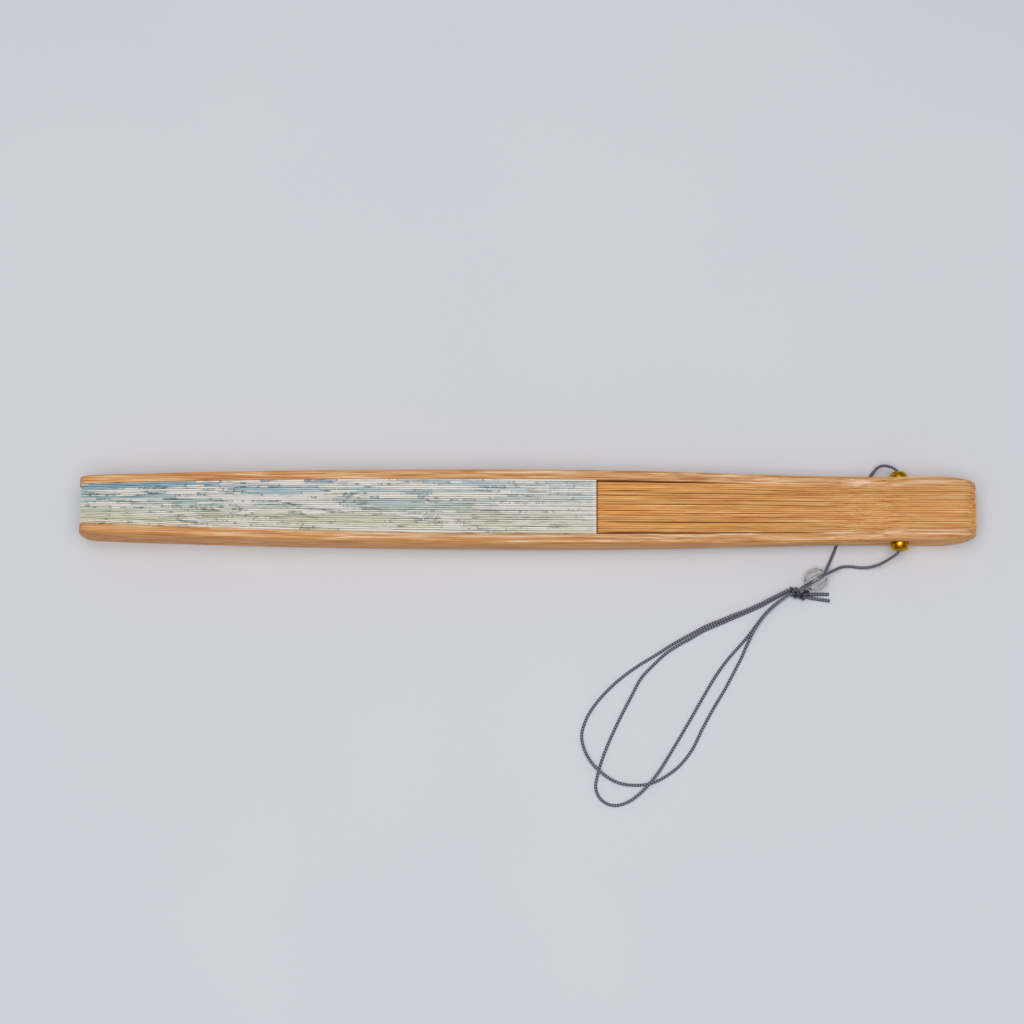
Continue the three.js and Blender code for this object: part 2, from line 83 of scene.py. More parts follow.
# Thicknesses across the stack
RIB_COUNT = 23
PLEAT_COUNT = RIB_COUNT + 1
WALL_COUNT = 2 * PLEAT_COUNT
RIB_THICKNESS = 0.00043
RIB_SHOULDER_THICKNESS = 0.0005
BLADE_THICKNESS = 0.00012
HEAD_STACK = 0.011
TIP_STACK = 0.010025
BELLY_STACK = 0.013985
PAPER = 0.000085
PLEAT_GAP = 0.00005
GUARD_THICKNESS = 0.00245
GUARD_TIP_THICKNESS = 0.0021
GUARD_EDGE = 0.0006  # corner radius along a guard's outer edges
GUARD_INNER_EDGE = 0.00015
HEAD_ROUND_LENGTH = 0.009
HEAD_ROUND_DROP = 0.0014
TIP_ROUND_LENGTH = 0.004
TIP_ROUND_DROP = 0.00025

# How the ribs lie
RIB_EDGE = 0.00007  # bevel along a rib's edges
RIB_RAGGED = 0.00035  # how unevenly the ribs end at the head
RIB_END_LENGTH = 0.0005  # the last of a rib's head, which keeps one depth
RIB_LIFT = 0.00012  # how unevenly high the ribs stand
RIB_LIFT_START = 0.005
RIB_LIFT_LENGTH = 0.03
HEAD_STRAY = 0.15  # free gaps by which a rib strays at the head
NECK_STRAY = 0.25  # and at the neck
NECK_PLACE = 0.012
RIB_PULL = 0.8  # share of the free gap that closes between ribs of one group
RIB_GROUPS = (  # place along the fan, lean of all ribs, ribs that lie close together
    (0.032, 1.0, (3, 2, 3, 2, 4, 2, 2, 5)),
    (0.052, 0.0, (5, 2, 3, 2, 2, 4, 5)),
    (0.0725, 0.0, (4, 2, 3, 1, 3, 2, 3, 5)),
)

# How the leaf is folded
WALL_SLANT = 0.12  # a pleat's front wall leans in by this share of the pitch at its top
SLANT_WAVER = 0.9  # share of the slant that wavers
FOLD_UNEVEN = 0.00016  # how unevenly high the folds stand
FOLD_WAVER = 0.4  # share of the unevenness that wavers along a fold
FOLD_FLATNESS = 0.35  # a fold's crown is this high for its half width
PLEAT_RISE = 0.0035  # height of the pleats on the open leaf, for its shading
WAVER_LENGTH = 0.02  # the folds waver over about this length
CROWN_SHARE = 0.03  # share of a wall's width that half a fold's crown takes up
PRINT_LENGTH = 13  # length of the print from its inner edge, in centimetres
CENTIMETRES = 100  # in a metre
TINT_SPAN = 0.25  # the bamboo's tints are spread over this length, half each way

# Hollow pivot
PIVOT_X = 0.09375
PIVOT_Z = 0.006260089  # the middle of the sticks' depth at the pivot
TUBE_RADIUS = 0.0012
TUBE_BORE_RADIUS = 0.0008
PIVOT_CLEARANCE = 0.00008
CAP_BASE = 0.008
CAP_RADIUS = 0.0023
CAP_HEIGHT = 0.0021
CAP_RIM = 0.0005
CAP_MOUTH_RADIUS = 0.00135
CAP_LIP = 0.0004
CAP_LIP_WALL = 0.0001  # thickness of the lip inside the mouth
CAP_FIT = 0.00005  # gap between the tube and a cap
CAP_CHAMFER = 0.00015  # bevel round a cap's foot
CAP_CHAMFER_HEIGHT = 0.00012

# Wrist cord, bead and knot
CORD_DIAMETER = 0.0008
CORD_START = 0.00015  # two stretches meet inside the pivot, this far from its middle
CORD_STEP = 0.00008
CORD_SIDES = 16
BRAID_STRANDS = 2  # strands that wind each way
BRAID_PITCH = 0.00072
BRAID_DEPTH = 0.22  # depth of the braid's grooves, as a share of the radius
STRAND_DIP = 0.45  # a strand dips by this share where it goes under another
MIN_LEVEL = 0.3  # a line climbs steeply if less than this share of it runs level
TAIL_DIAMETER = 0.00096  # the cut tails have loosened a little
BEAD_RADIUS = 0.003
BEAD_BORE_RADIUS = 0.00125
BEAD_RIM = 0.0003  # rounding of the bore's rims
BEAD_CENTRE = Vector((0.0727, -0.0171, 0.00305))
BEAD_AXIS = Vector((0.85, 0.52, 0.08)).normalized()
KNOT_CENTRE = Vector((0.0678, -0.02026, 0.00137))
KNOT_AXIS = Vector((0.97, -0.1, 0)).normalized()
KNOT_WRAP_RADIUS = 0.00098
KNOT_WRAP_TURNS = 1.75
KNOT_WRAP_LENGTH = 0.0021
KNOT_WRAP_LEAN = -0.0003
WRAP_DIAMETER = 0.00105  # the pulled tight wraps are flattened and broad
WRAP_PAINTED_SHADE = 0.68  # painted shade: the wraps' colour is darkened, for the shade inside the knot
TAIL_KNOT_CENTRE = Vector((0.07009, -0.0208, 0.00132))
TAIL_KNOT_AXIS = Vector((0.97, -0.2, 0)).normalized()
TAIL_WRAP_RADIUS = 0.00095
TAIL_WRAP_TURNS = 1.3
TAIL_WRAP_LENGTH = 0.0007
TAIL_WRAP_LEAN = 0.0002

# Fineness of the meshes
SHARP_ANGLE = 40  # edges bent by more degrees than this stay sharp
CORD_SHARP_ANGLE = 80
CORNER_STEPS = 4
END_STATIONS = 8
NOSE_STATIONS = 14
GUARD_STATIONS = (44, 30, 5)  # head to leaf, leaf to tip, tip
RIB_STATIONS = (60, 4, 14)  # head to shoulder, shoulder, blade
LEAF_STATIONS = 48
CROWN_STEPS = 8
WALL_STEPS = 10
DRILL_SIDES = 32
TUBE_SIDES = 40
CAP_SIDES = 56
DOME_STEPS = 12
LIP_STEPS = 6
BEAD_SIDES = 64
BEAD_STEPS = 33
BEAD_RIM_STEPS = 5
BEAD_BORE_STEPS = 9
CURVE_STEPS = 60  # points between two points of a route
WRAP_STEPS = 400

# Routes of the cord; they repeat the solids' own
PIVOT_POINTS = 3  # points inside the pivot, before a route starts
FRONT_ROUTE = [
    (0.09353, -0.01012, 0.00616), (0.09312, -0.01075, 0.00592), (0.0924, -0.0113, 0.00542),
    (0.0915, -0.01182, 0.0048), (0.0903, -0.0125, 0.00385), (0.0883, -0.0133, 0.0024),
    (0.086, -0.01368, 0.0012), (0.0838, -0.0136, 0.0006), (0.0818, -0.01335, 0.00055),
    (0.0799, -0.0135, 0.00105), (0.0781, -0.01425, 0.00215), (0.0766, -0.0151, 0.0032),
    (0.0751, -0.01585, 0.00366), (0.07278, -0.01723, 0.00347), (0.0705, -0.01862, 0.00322),
    (0.0695, -0.01925, 0.00278),
]
BACK_ROUTE = [
    (0.09353, 0.01012, 0.00624), (0.0931, 0.01075, 0.00613), (0.0924, 0.01128, 0.00587),
    (0.09145, 0.01172, 0.00545), (0.09055, 0.01197, 0.005), (0.08975, 0.012, 0.0045),
    (0.089, 0.01178, 0.0039), (0.0883, 0.01125, 0.00315), (0.0876, 0.0104, 0.00225),
    (0.08695, 0.0094, 0.00135), (0.0863, 0.0083, 0.00075), (0.08555, 0.007, 0.00047),
    (0.0842, 0.00425, 0.00045), (0.08255, 0.00075, 0.00045), (0.08085, -0.00275, 0.00045),
    (0.0793, -0.00595, 0.00045), (0.07835, -0.008, 0.0005), (0.07755, -0.0099, 0.00085),
    (0.0767, -0.0118, 0.00155), (0.07595, -0.01345, 0.00225), (0.0753, -0.01475, 0.00265),
    (0.0744, -0.01585, 0.00276), (0.07262, -0.01697, 0.00263), (0.0703, -0.01839, 0.00238),
    (0.06955, -0.01885, 0.002),
]
LONG_LOOP_ROUTE = [
    (0.06598, -0.01948, 0.00185), (0.0645, -0.0202, 0.00165), (0.06265, -0.0211, 0.00145),
    (0.05905, -0.0229, 0.00125), (0.0554, -0.02455, 0.00112), (0.0518, -0.02595, 0.00097),
    (0.04815, -0.0274, 0.00075), (0.0445, -0.0289, 0.00055), (0.04085, -0.0309, 0.00046),
    (0.03695, -0.03305, 0.00045), (0.03225, -0.03605, 0.00045), (0.02725, -0.03915, 0.00045),
    (0.02225, -0.04295, 0.00045), (0.01755, -0.04775, 0.00045), (0.01465, -0.05215, 0.00045),
    (0.01335, -0.05655, 0.0005), (0.01405, -0.06015, 0.0008), (0.01575, -0.06335, 0.00122),
    (0.01775, -0.06545, 0.00137), (0.01975, -0.06705, 0.00122), (0.02255, -0.06845, 0.0008),
    (0.02615, -0.06905, 0.00048), (0.03055, -0.06865, 0.00045), (0.03395, -0.06715, 0.00045),
    (0.03775, -0.06435, 0.00045), (0.04115, -0.06015, 0.00045), (0.04375, -0.05495, 0.00045),
    (0.04665, -0.04965, 0.00045), (0.04955, -0.04485, 0.00045), (0.052, -0.0403, 0.00045),
    (0.05375, -0.03695, 0.00048), (0.05495, -0.0342, 0.00065), (0.05595, -0.0321, 0.001),
    (0.0572, -0.0296, 0.00132), (0.05905, -0.02685, 0.00135), (0.0609, -0.0248, 0.00142),
    (0.06275, -0.0231, 0.00152), (0.0646, -0.02162, 0.0017), (0.06595, -0.0206, 0.00185),
]
SHORT_LOOP_ROUTE = [
    (0.06598, -0.01948, 0.00095), (0.0645, -0.02042, 0.00075), (0.06265, -0.02145, 0.0006),
    (0.05905, -0.0235, 0.00048), (0.0554, -0.02515, 0.00045), (0.0518, -0.02672, 0.00045),
    (0.04815, -0.02828, 0.00045), (0.0445, -0.02987, 0.00045), (0.04085, -0.03197, 0.00045),
    (0.0383, -0.03338, 0.00045), (0.03475, -0.0357, 0.00045), (0.0316, -0.0386, 0.00045),
    (0.0284, -0.04205, 0.00045), (0.0261, -0.0463, 0.00045), (0.02285, -0.05255, 0.00045),
    (0.01995, -0.05885, 0.00045), (0.01825, -0.06335, 0.00045), (0.01725, -0.06695, 0.00045),
    (0.01685, -0.06955, 0.00045), (0.01765, -0.07195, 0.00045), (0.01955, -0.07365, 0.00045),
    (0.02205, -0.07415, 0.00048), (0.02505, -0.07325, 0.0007), (0.02775, -0.07135, 0.00117),
    (0.03035, -0.06875, 0.00137), (0.03255, -0.06595, 0.00117), (0.03465, -0.06275, 0.0007),
    (0.03695, -0.05895, 0.00048), (0.04075, -0.05255, 0.00045), (0.04415, -0.04665, 0.00045),
    (0.0473, -0.0414, 0.00045), (0.0504, -0.03715, 0.00045), (0.0534, -0.03375, 0.00045),
    (0.0552, -0.0317, 0.00045), (0.057, -0.0294, 0.00045), (0.0589, -0.02685, 0.00047),
    (0.06075, -0.02475, 0.00053), (0.06265, -0.02305, 0.00063), (0.0646, -0.02162, 0.0008),
    (0.06595, -0.0206, 0.00095),
]
UPPER_TAIL_ROUTE = [
    (0.0699, -0.0206, 0.00115), (0.0712, -0.02055, 0.00075), (0.0735, -0.0205, 0.00047),
    (0.0762, -0.02045, 0.00045),
]
LOWER_TAIL_ROUTE = [
    (0.0699, -0.021, 0.001), (0.0712, -0.02138, 0.0006), (0.0736, -0.02178, 0.00045),
    (0.0764, -0.02215, 0.00045),
]

# Strands inside the knot, between the ends of the stretches
FRONT_CORE_ROUTE = [
    LONG_LOOP_ROUTE[0], (0.0673, -0.01965, 0.0021), (0.0685, -0.0196, 0.00245), FRONT_ROUTE[-1],
]
BACK_CORE_ROUTE = [
    SHORT_LOOP_ROUTE[0], (0.0673, -0.0198, 0.0011), (0.0686, -0.01945, 0.0015), BACK_ROUTE[-1],
]
UPPER_CORE_ROUTE = [LONG_LOOP_ROUTE[-1], (0.0672, -0.02055, 0.00185), (0.0686, -0.0206, 0.0016)]
LOWER_CORE_ROUTE = [SHORT_LOOP_ROUTE[-1], (0.0672, -0.0207, 0.00095), (0.0686, -0.0209, 0.00095)]

# Camera and light, fitted to the photograph
CAMERA_TILT = math.radians(9.5)
CAMERA_ROLL = math.radians(0.14)
CAMERA_TARGET = Vector((-0.00435, 0.00065, 0))
CAMERA_DISTANCE = 0.767
SENSOR_WIDTH = 36
IMAGE_WIDTH = 1024  # in pixels
FOCAL_LENGTH = 3002  # in pixels
CLIP_START = 0.01
CLIP_END = 10
FLOOR_HALF_SIZE = 6
WORLD_COLOUR = (0.92, 0.95, 1, 1)
WORLD_STRENGTH = 0.3
SOFTBOX_PLACE = Vector((-0.05, -0.12, 1.24))
SOFTBOX_SIZE = 0.85
SOFTBOX_POWER = 9.1


# Numbers and shapes

def lerp(a, b, share):
    return a + (b - a) * share


def smooth(t):
    t = min(1, max(0, t))
    return t * t * (3 - 2 * t)


def chance(*seed):
    """A fixed number from -1 to 1 for each seed."""
    return random.Random(repr(seed)).uniform(-1, 1)


def spaced(start, end, count):
    return [lerp(start, end, i / count) for i in range(count)]


def rounded_end(end, radius, inwards, count=END_STATIONS):
    """Stations that close up towards an end, so that its rounded corner comes out smooth."""
    angles = spaced(0, math.pi / 2, count)
    return [end + inwards * radius * (1 - math.cos(angle)) for angle in angles]


def catmull_rom(points, step):
    """Evenly spaced points on the smooth line through the given ones (centripetal Catmull-Rom)."""
    knots = [2 * points[0] - points[1], *points, 2 * points[-1] - points[-2]]
    line = []
    for p0, p1, p2, p3 in zip(knots, knots[1:], knots[2:], knots[3:]):
        t1 = math.sqrt((p1 - p0).length)
        t2 = t1 + math.sqrt((p2 - p1).length)
        t3 = t2 + math.sqrt((p3 - p2).length)
        for t in spaced(t1, t2, CURVE_STEPS):
            a1 = p0.lerp(p1, t / t1)
            a2 = p1.lerp(p2, (t - t1) / (t2 - t1))
            a3 = p2.lerp(p3, (t - t2) / (t3 - t2))
            b1 = a1.lerp(a2, t / t2)
            b2 = a2.lerp(a3, (t - t1) / (t3 - t1))
            line.append(b1.lerp(b2, (t - t1) / (t2 - t1)))
    return evenly(np.array([*line, points[-1]]), step)


def directions(line):
    """Unit directions along a line of points."""
    along = np.gradient(line, axis=0)
    return along / np.linalg.norm(along, axis=1)[:, None]


def evenly(line, step):
    """The same line with its points about one step apart."""
    run = np.concatenate([[0], np.cumsum(np.linalg.norm(np.diff(line, axis=0), axis=1))])
    places = np.linspace(0, run[-1], max(2, round(run[-1] / step)))
    return np.stack([np.interp(places, run, line[:, i]) for i in range(3)], 1)


# Meshes

def placed(name, data):
    """A new object in the scene."""
    obj = bpy.data.objects.new(name, data)
    bpy.context.scene.collection.objects.link(obj)
    return obj


def mesh_object(name, verts, faces, material, sharp=SHARP_ANGLE):
    """A smooth object from points and faces, crisp at edges beyond the sharp angle."""
    mesh = bpy.data.meshes.new(name)
    mesh.from_pydata([tuple(v) for v in verts], [], faces)
    work = bmesh.new()
    work.from_mesh(mesh)
    bmesh.ops.recalc_face_normals(work, faces=work.faces)
    work.to_mesh(mesh)
    work.free()
    mesh.polygons.foreach_set("use_smooth", [True] * len(mesh.polygons))
    mesh.set_sharp_from_angle(angle=math.radians(sharp))
    mesh.materials.append(material)
    obj = placed(name, mesh)
    return obj


def skin(rings, size):
    """Faces that join rings of points in a row, with both ends closed."""
    faces = []
    for i in range(rings - 1):
        for j in range(size):
            a = i * size + j
            b = i * size + (j + 1) % size
            faces.append((a, b, b + size, a + size))
    faces.append(tuple(range(size)))
    faces.append(tuple(range((rings - 1) * size, rings * size)))
    return faces


def loft(name, us, ring_at, material):
    """A closed body through one ring of (y, z) points at each station."""
    rings = [ring_at(u) for u in us]
    verts = [(PIVOT_X - u, y, z) for u, ring in zip(us, rings) for y, z in ring]
    return mesh_object(name, verts, skin(len(rings), len(rings[0])), material)


def set_uv(obj, places, ends=None):
    """A UV map from one pair of numbers for each vertex; the two end faces may have a place of their own."""
    layer = obj.data.uv_layers.new(name="print")
    corners = np.empty(len(obj.data.loops), dtype=np.int32)
    obj.data.loops.foreach_get("vertex_index", corners)
    layer.uv.foreach_set("vector", np.array(places, dtype=np.float32)[corners].ravel())
    if ends:
        for face in list(obj.data.polygons)[-2:]:
            for corner in face.loop_indices:
                layer.uv[corner].vector = ends


def lathe(name, profile, sides, centre, axis, material):
    """A profile of (radius, height) points turned round an axis; the profile closes on itself."""
    turn = Vector(axis).to_track_quat("Z", "Y").to_matrix()
    verts = []
    for i in range(sides):
        angle = 2 * math.pi * i / sides
        for radius, height in profile:
            spot = Vector((radius * math.cos(angle), radius * math.sin(angle), height))
            verts.append(Vector(centre) + turn @ spot)
    count = len(profile)
    faces = []
    for i in range(sides):
        for j in range(count):
            a = i * count + j
            b = i * count + (j + 1) % count
            shift = count if i + 1 < sides else count - sides * count
            faces.append((a, b, b + shift, a + shift))
    return mesh_object(name, verts, faces, material)


def drill(obj):
    """Cuts the pivot's hole through a stick."""
    radius = TUBE_RADIUS + PIVOT_CLEARANCE
    half = CAP_BASE + CAP_HEIGHT
    verts = []
    for height in (-half, half):
        for i in range(DRILL_SIDES):
            angle = 2 * math.pi * i / DRILL_SIDES
            verts.append((radius * math.cos(angle) + PIVOT_X, height, radius * math.sin(angle) + PIVOT_Z))
    mesh = bpy.data.meshes.new("drill")
    mesh.from_pydata(verts, [], skin(2, DRILL_SIDES))
    cutter = placed("drill", mesh)
    cut = obj.modifiers.new("hole", "BOOLEAN")
    cut.object = cutter
    cut.solver = "EXACT"
    ready = obj.evaluated_get(bpy.context.evaluated_depsgraph_get())
    drilled = bpy.data.meshes.new_from_object(ready)
    obj.modifiers.clear()
    obj.data = drilled
    bpy.data.objects.remove(cutter)
    drilled.set_sharp_from_angle(angle=math.radians(SHARP_ANGLE))


# Materials

def colour(red, green, blue):
    """A colour given as in a picture, 0 to 255, as the linear light that a shader wants."""
    def linear(c):
        c = c / 255
        return c / 12.92 if c <= 0.04045 else ((c + 0.055) / 1.055) ** 2.4
    return (linear(red), linear(green), linear(blue), 1)


def new_material(name, **settings):
    """A material, its tree and its shader, with sockets set by name."""
    material = bpy.data.materials.new(name)
    material.use_nodes = True
    shader = material.node_tree.nodes["Principled BSDF"]
    for socket, value in settings.items():
        shader.inputs[socket.replace("_", " ")].default_value = value
    return material, material.node_tree, shader


def place_on_part(tree, scale, shift=(0, 0, 0)):
    """The part's own coordinates, stretched."""
    coords = tree.nodes.new("ShaderNodeTexCoord")
    return stretched(tree, coords.outputs["Object"], scale, shift)


def stretched(tree, source, scale, shift=(0, 0, 0)):
    mapping = tree.nodes.new("ShaderNodeMapping")
    mapping.inputs["Scale"].default_value = scale
    mapping.inputs["Location"].default_value = shift
    tree.links.new(source, mapping.inputs["Vector"])
    return mapping.outputs["Vector"]


def axes(tree, vector):
    """The x and the y of a place, each on its own."""
    split = tree.nodes.new("ShaderNodeSeparateXYZ")
    tree.links.new(vector, split.inputs["Vector"])
    return split.outputs["X"], split.outputs["Y"]


def noise(tree, vector, detail=2.0, rough=0.5, warp=0.0):
    node = tree.nodes.new("ShaderNodeTexNoise")
    node.inputs["Scale"].default_value = 1
    node.inputs["Detail"].default_value = detail
    node.inputs["Roughness"].default_value = rough
    node.inputs["Distortion"].default_value = warp
    tree.links.new(vector, node.inputs["Vector"])
    return node.outputs["Fac"]


def ramp(tree, factor, *stops):
    """Colours or greys at places from 0 to 1."""
    node = tree.nodes.new("ShaderNodeValToRGB")
    marks = node.color_ramp.elements
    while len(marks) < len(stops):
        marks.new(1)
    for mark, (place, value) in zip(marks, stops):
        mark.position = place
        mark.color = value if isinstance(value, tuple) else (value, value, value, 1)
    tree.links.new(factor, node.inputs["Fac"])
    return node.outputs["Color"]


def mix(tree, factor, first, second, how="MIX"):
    """Each of the three is a socket or a constant."""
    node = tree.nodes.new("ShaderNodeMix")
    node.data_type = "RGBA"
    node.blend_type = how
    for index, value in ((0, factor), (6, first), (7, second)):
        if isinstance(value, bpy.types.NodeSocket):
            tree.links.new(value, node.inputs[index])
        else:
            node.inputs[index].default_value = value
    return node.outputs[2]


def product(tree, first, second):
    node = tree.nodes.new("ShaderNodeMath")
    node.operation = "MULTIPLY"
    tree.links.new(first, node.inputs[0])
    tree.links.new(second, node.inputs[1])
    return node.outputs[0]


def add_bump(tree, shader, height, distance, strength=1.0, over=None):
    """Relief on the shader, over an earlier relief if there is one."""
    node = tree.nodes.new("ShaderNodeBump")
    node.inputs["Distance"].default_value = distance
    node.inputs["Strength"].default_value = strength
    tree.links.new(height, node.inputs["Height"])
    if over:
        tree.links.new(over, node.inputs["Normal"])
    tree.links.new(node.outputs["Normal"], shader.inputs["Normal"])
    return node.outputs["Normal"]


def along_fan(tree, tip, leaf, head):
    """A tint that goes from the tip over the leaf's inner edge to the head."""
    along, _ = axes(tree, place_on_part(tree, (1 / TINT_SPAN, 1, 1), (0.5, 0, 0)))
    return ramp(tree, along, (0.05, tip), (0.55, leaf), (0.92, head))


def guard_bamboo():
    """Cut bamboo with long pale and brown streaks and fine fibres, and painted shade on its outer face, which
    is coloured darker and more saturated.
    """
    material, tree, shader = new_material("guard_bamboo")
    broad = noise(tree, place_on_part(tree, (46, 2000, 1300)), detail=3, rough=0.6, warp=0.6)
    fibre = noise(tree, place_on_part(tree, (55, 4600, 2600)), detail=3, rough=0.6, warp=0.2)
    base = ramp(tree, broad, (0.32, colour(184, 108, 42)), (0.44, colour(218, 152, 82)),
                (0.55, colour(236, 184, 126)), (0.66, colour(255, 228, 200)))
    tint = along_fan(tree, (1, 0.91, 0.76, 1), (0.98, 0.96, 0.93, 1), (1.02, 1.02, 1.04, 1))
    lines = ramp(tree, fibre, (0.32, (0.74, 0.58, 0.42, 1)), (0.46, (0.95, 0.93, 0.9, 1)),
                 (0.66, (1, 1, 1, 1)))
    wood = mix(tree, 0.9, mix(tree, 1.0, base, tint, "MULTIPLY"), lines, "MULTIPLY")
    # painted shade: the outer face, marked in the skin attribute, is coloured darker and more saturated for
    # the shade on that side
    outer_face_shade = tree.nodes.new("ShaderNodeAttribute")
    outer_face_shade.attribute_name = "skin"
    shaded_wood = mix(tree, 1.0, wood, (1, 0.84, 0.4, 1), "MULTIPLY")
    tree.links.new(mix(tree, outer_face_shade.outputs["Fac"], wood, shaded_wood), shader.inputs["Base Color"])
    tree.links.new(ramp(tree, fibre, (0.3, 0.62), (0.7, 0.42)), shader.inputs["Roughness"])
    add_bump(tree, shader, fibre, distance=0.00006, strength=0.5)
    return material


def rib_bamboo():
    """Thin split bamboo: each rib has its own tone, with bright and dark fibres."""
    material, tree, shader = new_material("rib_bamboo")
    tone = noise(tree, place_on_part(tree, (10, 2300, 40)), detail=1)
    streak = noise(tree, place_on_part(tree, (50, 3300, 900)), rough=0.6, warp=0.3)
    fibre = noise(tree, place_on_part(tree, (70, 8000, 5000)), rough=0.6)
    base = ramp(tree, streak, (0.3, colour(206, 130, 50)), (0.46, colour(238, 172, 90)),
                (0.58, colour(246, 190, 114)), (0.72, colour(255, 224, 164)))
    tint = along_fan(tree, (1, 0.92, 0.76, 1), (0.96, 0.9, 0.8, 1), (0.96, 0.94, 1.04, 1))
    tones = ramp(tree, tone, (0.32, 0.82), (0.5, 1.0), (0.66, 1.14))
    lines = ramp(tree, fibre, (0.32, (0.68, 0.45, 0.24, 1)), (0.46, (0.97, 0.96, 0.94, 1)),
                 (0.66, (1.06, 1.06, 1.06, 1)))
    toned = mix(tree, 1.0, mix(tree, 1.0, base, tint, "MULTIPLY"), tones, "MULTIPLY")
    tree.links.new(mix(tree, 0.8, toned, lines, "MULTIPLY"), shader.inputs["Base Color"])
    tree.links.new(ramp(tree, fibre, (0.3, 0.7), (0.7, 0.48)), shader.inputs["Roughness"])
    add_bump(tree, shader, fibre, distance=0.00005, strength=0.5)
    return material


def print_place(tree, x_scale, y_scale, shift=(0, 0, 0)):
    """Coordinates on a surface laid flat: walls and centimetres on the leaf, along and around on the cord."""
    node = tree.nodes.new("ShaderNodeUVMap")
    node.uv_map = "print"
    return stretched(tree, node.outputs["UV"], (x_scale, y_scale, 1), shift)


def pleat_share(tree):
    """0 at a pleat's back foot, 0.5 on its top fold and 1 at its front foot."""
    pleats, _ = axes(tree, print_place(tree, 0.5, 1))
    rest = tree.nodes.new("ShaderNodeMath")
    rest.operation = "FRACT"
    tree.links.new(pleats, rest.inputs[0])
    return rest.outputs[0]


def leaf_wash(tree, across, along, cloud):
    """Cream paper with loose patches of wash, blue to yellow-green, paler near the inner edge."""
    paper_tone = noise(tree, print_place(tree, 0.9, 0.6, (1, 9, 0)), detail=3)
    paper = ramp(tree, paper_tone, (0.3, colour(248, 240, 227)), (0.7, colour(255, 252, 246)))
    tint = ramp(tree, across, (0.0, colour(112, 176, 206)), (0.25, colour(136, 193, 208)),
                (0.5, colour(180, 210, 206)), (0.72, colour(218, 219, 184)), (1, colour(240, 228, 180)))
    body = ramp(tree, cloud, (0.485, 0.0), (0.51, 0.7), (0.62, 1.0))
    uneven = noise(tree, print_place(tree, 0.5, 1.1, (8, 4, 0)), detail=3)
    tone = ramp(tree, uneven, (0.3, 0.45), (0.62, 1.0))
    margin = ramp(tree, along, (0.0055, 0.0), (0.008, 0.35), (0.35, 0.7), (0.9, 1.0))
    return mix(tree, product(tree, product(tree, body, tone), margin), paper, tint)


def leaf_ink(tree, along, cloud):
    """How much ink covers the paper: outlines of the patches, and fine broken strokes near them."""
    scratch = noise(tree, print_place(tree, 46, 1.5, (5, 7, 0)), warp=0.8)
    strokes = ramp(tree, scratch, (0.585, 0.0), (0.615, 1.0))
    near_edge = ramp(tree, cloud, (0.39, 0.1), (0.47, 1.0), (0.54, 1.0), (0.64, 0.25))
    edge = ramp(tree, cloud, (0.492, 0.0), (0.498, 0.6), (0.504, 0.6), (0.51, 0.0))
    lines = mix(tree, 1.0, product(tree, strokes, near_edge), edge, "LIGHTEN")
    margin = ramp(tree, along, (0.0055, 0.0), (0.008, 0.6), (0.35, 0.9), (0.9, 1.0))
    return product(tree, lines, margin)


def leaf_paper():
    """Paper with a generic print of wash and ink, painted shade along its valley folds, and the slopes of its
    pleats.
    """
    material, tree, shader = new_material("leaf_paper", Roughness=0.8)
    across, along = axes(tree, print_place(tree, 1 / WALL_COUNT, 1 / PRINT_LENGTH))
    cloud = noise(tree, print_place(tree, 0.16, 0.34, (3, 1, 0)), detail=5, rough=0.62, warp=1.0)
    ink = ramp(tree, across, (0.0, colour(48, 78, 100)), (1, colour(98, 103, 76)))
    drawn = mix(tree, leaf_ink(tree, along, cloud), leaf_wash(tree, across, along, cloud), ink)
    pleat = pleat_share(tree)
    # painted shade: a thin darker line along each valley fold, where shade falls
    painted_fold_shade = ramp(tree, pleat, (0.0, 0.8), (0.01, 1.0), (0.99, 1.0), (1.0, 0.8))
    tree.links.new(mix(tree, 1.0, drawn, painted_fold_shade, "MULTIPLY"), shader.inputs["Base Color"])
    ridge = ramp(tree, pleat, (0.0, 0.0), (0.47, 1.0), (0.53, 1.0), (1.0, 0.0))
    slopes = add_bump(tree, shader, ridge, distance=PLEAT_RISE)
    grain = noise(tree, print_place(tree, 8, 60))
    add_bump(tree, shader, grain, distance=0.00002, strength=0.4, over=slopes)
    return material


def pivot_brass():
    """Polished brass with faint turning marks, and random dark patches, partly tarnished brass and partly
    painted dark reflections.
    """
    material, tree, shader = new_material("pivot_brass", Metallic=1.0)
    tarnish_and_dark_reflection = noise(tree, place_on_part(tree, (900, 900, 900)), detail=3)
    # partly painted reflection: the darkest patches stand in for the dark things that the dome reflects
    tone = ramp(tree, tarnish_and_dark_reflection, (0.36, colour(150, 94, 7)), (0.5, colour(210, 154, 17)),
                (0.64, colour(240, 194, 38)))
    tree.links.new(tone, shader.inputs["Base Color"])
    tree.links.new(ramp(tree, tarnish_and_dark_reflection, (0.3, 0.4), (0.7, 0.26)), shader.inputs["Roughness"])
    marks = noise(tree, place_on_part(tree, (300, 16000, 300)))
    add_bump(tree, shader, marks, distance=0.00001, strength=0.3)
    return material


